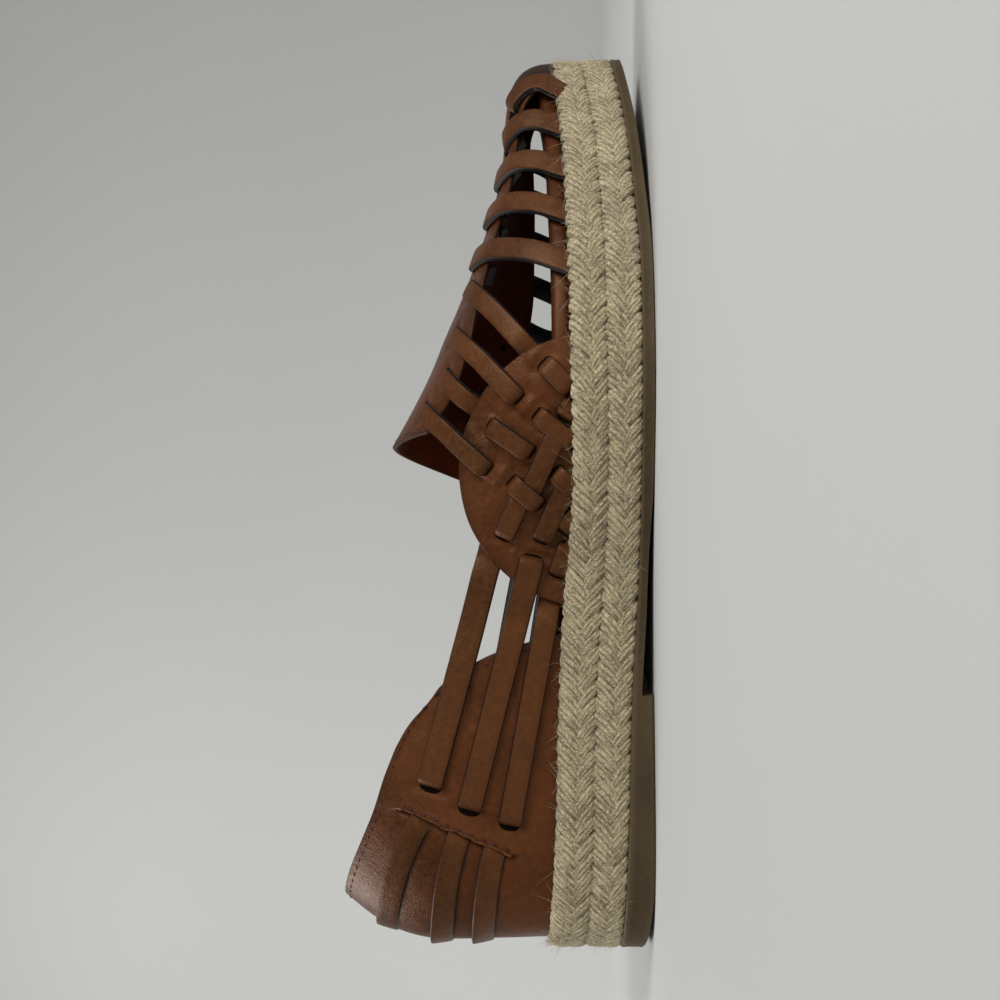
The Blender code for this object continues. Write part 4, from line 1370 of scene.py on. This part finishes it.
def make_stitches():
    line, normals = beside_border(COUNTER_BASE, np.s_[:, -1], np.s_[:, -5], TOPLINE_SEAM.margin)
    stitches("topline_stitching", line, normals, TOPLINE_SEAM)
    for border, inner, name in ((np.s_[0], np.s_[4], "lateral"), (np.s_[-1], np.s_[-5], "medial")):
        line, normals = beside_border(COUNTER_BASE, border, inner, TOPLINE_SEAM.margin)
        stitches(f"front_edge_stitching_{name}", line[FRONT_STRETCH], normals[FRONT_STRETCH],
                 TOPLINE_SEAM)
    line, normals = beside_border(SPINE_BASE, np.s_[0], np.s_[4], TONGUE_SEAM.margin)
    stitches("tongue_stitching", line[TONGUE_STRETCH], normals[TONGUE_STRETCH], TONGUE_SEAM)


def wander(draw, limits, count, steps):
    """Random values that pass smoothly from one to the next, a few steps apart."""
    return refine([draw.uniform(*limits) for _ in range(count // steps + 2)], steps)[:count]


def make_slit_edges():
    """Torn-looking raw lip and coarse stitches along the counter's slits."""
    draw = random.Random(5)
    for line, side in zip(slit_lines(), SIDES):
        track, normals = surface_path(line, RAW_EDGE_STEP)
        along = unit(np.gradient(track, axis=0))
        ahead = unit(np.cross(normals, along)) * (-side)
        ahead *= np.sign(ahead[:, 1:2].mean())
        aside = RAW_EDGE_AHEAD + wander(draw, RAW_EDGE_WANDER, len(track), 4)
        height = RAW_EDGE_LIFT + wander(draw, RAW_EDGE_RISE, len(track), 3)
        radius = wander(draw, RAW_EDGE_RADIUS, len(track), 3)
        path = track + ahead * aside[:, None] + normals * height[:, None]
        name = SIDE_NAMES[side]
        make_piece(f"slit_raw_edge_{name}", *tube(path, normals, radius, 7), (RAW_EDGE,))
        stitches(f"slit_stitching_{name}", track + ahead * SLIT_SEAM.margin, normals, SLIT_SEAM)


# Sole

# Braids: name, solid, lower and upper edge as shares of the height, and how far on the
# first bundle starts, in bundles
BRAIDS = (
    ("jute_braid_lower", "jute_wrap_lower", 0.0, 0.485, 0.0),
    ("jute_braid_upper", "jute_wrap_upper", 0.515, 1.0, 0.35),
)
BRAID_POINTS = 1200
# The edge of its braid that a bundle comes over
UPPER_EDGE = 1.0
LOWER_EDGE = -1.0
BUNDLE_PITCH = 4.5
BUNDLE_HALF = {UPPER_EDGE: 2.05, LOWER_EDGE: 1.6}
BUNDLE_DEEP = 1.0
BUNDLE_TOP = 17
BUNDLE_UNDER = 3
UNDERSIDE_WIDTH = 0.8
UNDERSIDE_DEPTH = 0.7
YARNS = 3.0
YARN_GROOVE = 0.24
YARN_DRIFT = 0.045
FIBRE_LEAN = 0.3
FIBRE_SHIFT = 90.0
BUNDLE_EDGE = 0.25
BUNDLE_REACH = {UPPER_EDGE: 5.2, LOWER_EDGE: 5.6}
V_LINE = -0.1
CORE_DEPTH = 3.8
CORE_MARGIN = 2.2
RIDGE = 0.05
# How far bundles differ: where each starts, how far it runs on, how deep it lies, its width
START_PLAY = 0.3
REACH_PLAY = (0.86, 1.16)
DEPTH_PLAY = 0.12
WIDTH_PLAY = (0.92, 1.1)
# A bundle's way over the braid: how far on, how far from the braid's edge to the line
# where the bundles of both edges meet, how deep it lies, and its share of the width
Way = namedtuple("Way", "onward across depth width")
BUNDLE_WAY = table(
    Way,
    (-0.05, 0.0, 3.5, 1.1),
    (0.04, -0.02, 2.1, 1.12),
    (0.17, 0.12, 1.25, 1.05),
    (0.58, 0.58, 0.95, 1.05),
    (0.98, 1.0, 1.05, 0.9),
    (1.18, 1.22, 1.7, 0.75),
    (1.36, 1.42, 3.0, 0.6),
)


def ring_frame(count):
    """Outline of the platform with its inward direction at each point."""
    outline = platform_outline(count)
    return outline, inset(outline, 1.0) - outline


def bundle(path, up, half, width, lean, draw):
    """Points, faces, fibre coordinates and painted shade in the furrows of a flat bundle of twisted
    yarns.
    """
    tangent = unit(np.gradient(path, axis=0))
    across = unit(np.cross(tangent, up))
    normal = np.cross(across, tangent)
    along = distance_along(path)
    top = -np.cos(np.linspace(0.0, np.pi, BUNDLE_TOP))
    under = np.linspace(UNDERSIDE_WIDTH, -UNDERSIDE_WIDTH, BUNDLE_UNDER)
    place_across = np.concatenate([top, under])
    roughness = [1 + RIDGE * draw.uniform(-1.0, 1.0) for _ in place_across]
    drift = lean * YARN_DRIFT * along[:, None] + draw.uniform(0.0, 1.0)
    lobe = np.abs(np.sin(np.pi * (YARNS * (place_across + 1) / 2 + drift)))
    arch = np.maximum(1 - np.abs(place_across) ** 2.4, 0.0) ** 0.5
    height = arch * (1 - YARN_GROOVE * (1 - lobe) ** 2) * roughness
    height[:, BUNDLE_TOP:] = -UNDERSIDE_DEPTH
    rings = path[:, None] + width[:, None, None] * (
        across[:, None] * (place_across * half)[None, :, None]
        + normal[:, None] * (height * BUNDLE_DEEP)[..., None])
    fibre = place_across[None] * half + along[:, None] * FIBRE_LEAN * lean
    shift = [draw.uniform(0.0, FIBRE_SHIFT) for _ in range(2)]
    uv = np.stack(np.broadcast_arrays(fibre, along[:, None]), axis=-1) + shift
    faces = grid_faces(len(path), len(place_across), wrap=True)
    # Painted shade in the furrows between yarns and along the bundle's edges
    furrow_shade = np.clip(0.9 * (1 - lobe) ** 2.2 + 0.5 * np.abs(place_across) ** 8, 0.0, 0.85)
    return rings.reshape(-1, 3), faces, uv.reshape(-1, 2), furrow_shade.ravel()


def make_braid(name, node, low_share, high_share, shift):
    """Flat plait: yarn bundles that come over both edges and dive where they meet."""
    draw = random.Random(name)
    outline, inward = ring_frame(BRAID_POINTS)
    length = np.linalg.norm(outline[1] - outline[0]) * len(outline)
    under = column(LEVELS, "outsole", outline[:, 1]) + GAP
    over = column(LEVELS, "wrap", outline[:, 1])
    levels = [under + (over - under) * share for share in (low_share, high_share)]
    track = np.column_stack([outline[:, :2], inward[:, :2], *levels])
    stations = np.arange(len(outline)) * length / len(outline)
    way = refine(np.array(BUNDLE_WAY), 2)
    count = round(length / BUNDLE_PITCH)
    bundles = []
    for i in range(2 * count):
        edge = UPPER_EDGE if i % 2 == 0 else LOWER_EDGE
        start = (i / 2 + shift) * length / count + draw.uniform(-START_PLAY, START_PLAY)
        onward = start - way[:, 0] * BUNDLE_REACH[edge] * draw.uniform(*REACH_PLAY)
        here = look_up(onward, stations, track, length)
        spot, inwards = here[:, :2], here[:, 2:4]
        low, high = here[:, 4:].T
        half = (high - low) / 2
        rim = edge * (half - BUNDLE_EDGE)
        depth = way[:, 2] + draw.uniform(-DEPTH_PLAY, DEPTH_PLAY)
        path = np.zeros((len(way), 3))
        path[:, :2] = spot + inwards * depth[:, None]
        path[:, 2] = (low + high) / 2 + rim + (V_LINE * half - rim) * way[:, 1]
        core = np.zeros_like(path)
        core[:, :2] = spot + inwards * CORE_DEPTH
        core[:, 2] = np.clip(path[:, 2], low + CORE_MARGIN, high - CORE_MARGIN)
        width = way[:, 3] * draw.uniform(*WIDTH_PLAY)
        bundles.append(bundle(path, unit(path - core), BUNDLE_HALF[edge], width, -edge, draw))
    points, faces, uvs, furrow_shade = zip(*bundles)
    make_piece(name, *joined(zip(points, faces)), (JUTE,), Place("jute_braid", (node,)),
               marks={"painted_shade": np.concatenate(furrow_shade)}, uv=np.concatenate(uvs))


# Loose fibres: how deep they start, their length, how far they bend and stand off
FIBRES = 9000
FIBRE_PLACES = 1600
FIBRE_POINTS = 4
FIBRE_START = (0.6, 1.5)
FIBRE_LEAST = 1.0
FIBRE_MORE = 4.8
FIBRE_BEND = 0.6
FIBRE_RADIUS = (0.025, 0.065)
FIBRE_TAPER = 0.6
FIBRE_REACH = 2.2


def make_fibres():
    """Loose jute hairs that stand off the braids."""
    draw = random.Random(11)
    outline, inward = ring_frame(FIBRE_PLACES)
    fibres = []
    for _ in range(FIBRES):
        i = draw.randrange(len(outline))
        y = outline[i][1]
        low, high = outsole_top(y) + 1.0, wrap_top(y) + 0.4
        edge = draw.random()
        height = high - (high - low) * (draw.random() ** 2 * 0.5 if edge < 0.5 else draw.random())
        start = outline[i] + inward[i] * draw.uniform(*FIBRE_START)
        start[2] = height
        along = np.array([-inward[i][1], inward[i][0], 0.0]) * draw.choice((-1, 1))
        heading = along * draw.uniform(0.2, 1.0) - inward[i] * draw.uniform(0.1, 0.55)
        heading[2] = draw.uniform(-0.7, 0.8)
        heading = unit(heading)
        bend = np.array([draw.uniform(-0.9, 0.9) for _ in range(3)]) + inward[i] * 0.35
        length = FIBRE_LEAST + FIBRE_MORE * draw.random() ** 3
        t = np.linspace(0.0, 1.0, FIBRE_POINTS)[:, None]
        path = start + heading * length * t + bend * length * t ** 2 * FIBRE_BEND
        reach = (path - outline[i]) @ -inward[i]
        path += inward[i] * np.maximum(reach - FIBRE_REACH, 0.0)[:, None]
        radius = draw.uniform(*FIBRE_RADIUS) * (1 - FIBRE_TAPER * t[:, 0])
        up = np.tile(inward[i], (FIBRE_POINTS, 1))
        fibres.append(tube(path, up, radius, 3))
    make_piece("loose_jute_fibres", *joined(fibres), (FIBRE,),
               Place("jute_braid", ("jute_wrap_lower", "jute_wrap_upper")))


def ladder_cap(count, offset, flip):
    """Faces that close a ring of points by rungs from its lateral to its medial half."""
    faces = []
    for i in range(count // 2):
        a, b = i, i + 1
        c, d = (count - i - 1) % count, (count - i) % count
        face = tuple(dict.fromkeys((offset + a, offset + b, offset + c, offset + d)))
        faces.append(face[::-1] if flip else face)
    return faces


def stacked(rings):
    """Points and faces of a closed solid through rings of equal length."""
    count = len(rings[0])
    faces = ladder_cap(count, 0, True) + grid_faces(len(rings), count, wrap=True)
    faces += ladder_cap(count, (len(rings) - 1) * count, False)
    return np.concatenate(rings), faces


def at_height(outline, heights):
    ring = outline.copy()
    ring[:, 2] = heights
    return ring


CORE_POINTS = 360
# Core section: share of the braids' height and distance in from the outline
CorePoint = namedtuple("CorePoint", "share depth")
CORE_SECTION = table(
    CorePoint, (0.0, 2.6), (0.44, 2.4), (0.5, 2.6), (0.56, 2.4), (0.88, 2.8), (0.9, 4.6),
)


def make_core():
    """Filler that backs the braids and closes the platform's top, dark with painted shade."""
    outline = platform_outline(CORE_POINTS)
    under = column(LEVELS, "outsole", outline[:, 1])
    over = column(LEVELS, "wrap", outline[:, 1])
    rings = [at_height(inset(outline, row.depth), under + (over - under) * row.share)
             for row in CORE_SECTION]
    make_piece("platform_core", *stacked(rings), (JUTE_CORE,), Place("platform_filler", ("midsole",)))


# Outsole section: share of its height, distance in from the outline, and how much paler
# its colour is drawn there
OutsolePoint = namedtuple("OutsolePoint", "share depth light")
OUTSOLE_SECTION = table(
    OutsolePoint,
    (0.0, 0.9, 1.0),
    (0.05, 0.35, 1.0),
    (0.14, 0.05, 0.6),
    (0.22, 0.12, 0.0),
    (0.72, 0.15, 0.0),
    (0.84, 0.0, 0.5),
    (0.95, 0.0, 1.0),
    (1.0, 0.5, 1.0),
)
OUTSOLE_POINTS = 400
SHARP_ANGLE = 35.0
CUTTER_HALF = 60.0
CUTTER_BELOW = -6.0


def make_outsole():
    outline = platform_outline(OUTSOLE_POINTS)
    low = column(LEVELS, "tread", outline[:, 1])
    high = column(LEVELS, "outsole", outline[:, 1])
    rings = [at_height(inset(outline, row.depth), low + (high - low) * row.share)
             for row in OUTSOLE_SECTION]
    light = np.repeat([row.light for row in OUTSOLE_SECTION], len(outline))
    outsole = make_piece("rubber_outsole", *stacked(rings), (RUBBER,),
                         Place("outsole_rubber", ("outsole",)), marks={"edge": light})
    cutter = waist_cutter()
    cut = outsole.modifiers.new("waist", "BOOLEAN")
    cut.operation = "DIFFERENCE"
    cut.object = cutter
    view = bpy.context.evaluated_depsgraph_get()
    shaped = bpy.data.meshes.new_from_object(outsole.evaluated_get(view))
    outsole.modifiers.clear()
    outsole.data = shaped
    shaped.shade_smooth()
    shaped.set_sharp_from_angle(angle=math.radians(SHARP_ANGLE))
    bpy.data.objects.remove(cutter)


def waist_cutter():
    """Solid whose top is the arched underside between heel breast and ball."""
    sheet = [Edge(y, outsole_top(y) - WAIST_SHEET) for y in (HEEL_BREAST_Y, WAIST_SHEET_END_Y)]
    profile = [Edge(HEEL_BREAST_Y, CUTTER_BELOW), *sheet, *WAIST_ARCH, Edge(WAIST_END_Y, CUTTER_BELOW)]
    points = [(x, edge.y, edge.z) for x in (-CUTTER_HALF, CUTTER_HALF) for edge in profile]
    count = len(profile)
    faces = [tuple(range(count)), tuple(range(2 * count - 1, count - 1, -1))]
    faces += [(i, count + i, count + (i + 1) % count, (i + 1) % count) for i in range(count)]
    return new_object("waist_cutter", points, faces)


# Insole section: height over the platform and distance in from the upper
InsolePoint = namedtuple("InsolePoint", "height depth")
INSOLE_SECTION = table(
    InsolePoint, (0.3, 0.0), (2.2, -0.1), (4.0, 0.0), (4.8, 0.25), (5.3, 0.8), (5.55, 1.6),
    (5.6, 3.0), (5.5, 5.0), (5.6, 9.0),
)
DISH_END = (20.0, 70.0)
INSOLE_POINTS = 360


def make_insole():
    """Padded footbed with a rounded edge and a shallow dish at the heel."""
    feet = base_outline(INSOLE_POINTS)
    rings = []
    for row in INSOLE_SECTION:
        ring = []
        for foot in feet:
            rise = row.height / (crown_above(foot).z - wrap_top(foot[1]))
            ring.append((*last_point(foot, rise).xy, wrap_top(foot[1]) + row.height))
        rings.append(inset(np.array(ring), INSOLE_INSET + row.depth))
    dish = INSOLE_DISH * (1 - smooth_step(*DISH_END, rings[-1][:, 1]))
    rings[-1][:, 2] -= dish
    rings[-2][:, 2] -= dish * 0.5
    insole = make_piece("padded_insole", *stacked(rings), (FOOTBED,),
                        Place("footbed_leather", ("insole",)))


# Studio

CAMERA_AT = (335.0, 98.0, 24.0)
CAMERA_TILT = -3.1
CAMERA_ROLL = -0.45
LENS = 41.1
SENSOR = 36.0
FLOOR_REACH = 3000.0
FLOOR_FRONT = 2000.0
SWEEP_AT = -300.0
SWEEP_RADIUS = 300.0
WALL_TOP = 3500.0


def add_camera():
    """Almost level with the sole on the outer side, turned a quarter so that the toe is up."""
    tilt = math.radians(CAMERA_TILT)
    basis = Matrix((
        (math.sin(tilt), 0.0, math.cos(tilt)),
        (0.0, 1.0, 0.0),
        (-math.cos(tilt), 0.0, math.sin(tilt)),
    )) @ Matrix.Rotation(math.radians(CAMERA_ROLL), 3, "Z")
    data = bpy.data.cameras.new("camera")
    data.lens = LENS
    data.sensor_width = SENSOR
    data.clip_start = 0.01
    camera = link("camera", data)
    camera.matrix_world = Matrix.Translation(Vector(CAMERA_AT) * METRE) @ basis.to_4x4()
    bpy.context.scene.camera = camera


Lamp = namedtuple("Lamp", "name at aim size power")
SHOE = (0.0, 98.0, 45.0)
LAMPS = table(
    Lamp,
    ("key", (480.0, 600.0, 420.0), SHOE, 480.0, 4.1),
    ("front", (950.0, 0.0, 350.0), SHOE, 900.0, 0.7),
    ("heel", (-40.0, -420.0, 560.0), SHOE, 450.0, 2.2),
    ("backdrop", (-80.0, -480.0, 560.0), (-600.0, -100.0, 120.0), 400.0, 1.4),
)


def add_lights():
    for lamp in LAMPS:
        data = bpy.data.lights.new(lamp.name, "AREA")
        data.shape = "DISK"
        data.size = lamp.size * METRE
        data.energy = lamp.power
        light = link(lamp.name, data)
        at = Vector(lamp.at)
        light.location = at * METRE
        light.rotation_euler = (Vector(lamp.aim) - at).to_track_quat("-Z", "Y").to_euler()


def add_floor():
    """Pale floor that sweeps up into a wall far behind the shoe."""
    sweep = [(SWEEP_AT - SWEEP_RADIUS * math.sin(angle), SWEEP_RADIUS - SWEEP_RADIUS * math.cos(angle))
             for angle in np.radians(np.linspace(0.0, 90.0, 13))]
    profile = [(FLOOR_FRONT, 0.0), *sweep, (SWEEP_AT - SWEEP_RADIUS, WALL_TOP)]
    points = [(x, y, z) for x, z in profile for y in (-FLOOR_REACH, FLOOR_REACH)]
    floor = new_object("floor", points, grid_faces(len(profile), 2))
    floor.data.materials.append(two_tone("pale_floor", rgb(202, 202, 198), rgb(208, 208, 204), 3.0,
                                         roughness=0.8, specular=0.2))


def add_world():
    world = bpy.data.worlds.new("studio")
    world.use_nodes = True
    shade = world.node_tree.nodes["Background"]
    shade.inputs["Color"].default_value = (0.9, 0.93, 1.0, 1.0)
    shade.inputs["Strength"].default_value = 0.15
    bpy.context.scene.world = world


add_camera()
add_floor()
add_lights()
add_world()
bpy.context.scene.view_settings.view_transform = "Standard"
make_outsole()
make_core()
for row in BRAIDS:
    make_braid(*row)
make_fibres()
make_insole()
make_spine()
make_counter()
for side in SIDES:
    make_medallion(side)
for strap in STRAPS + TAILS:
    make_strap(strap)
make_stitches()
make_slit_edges()
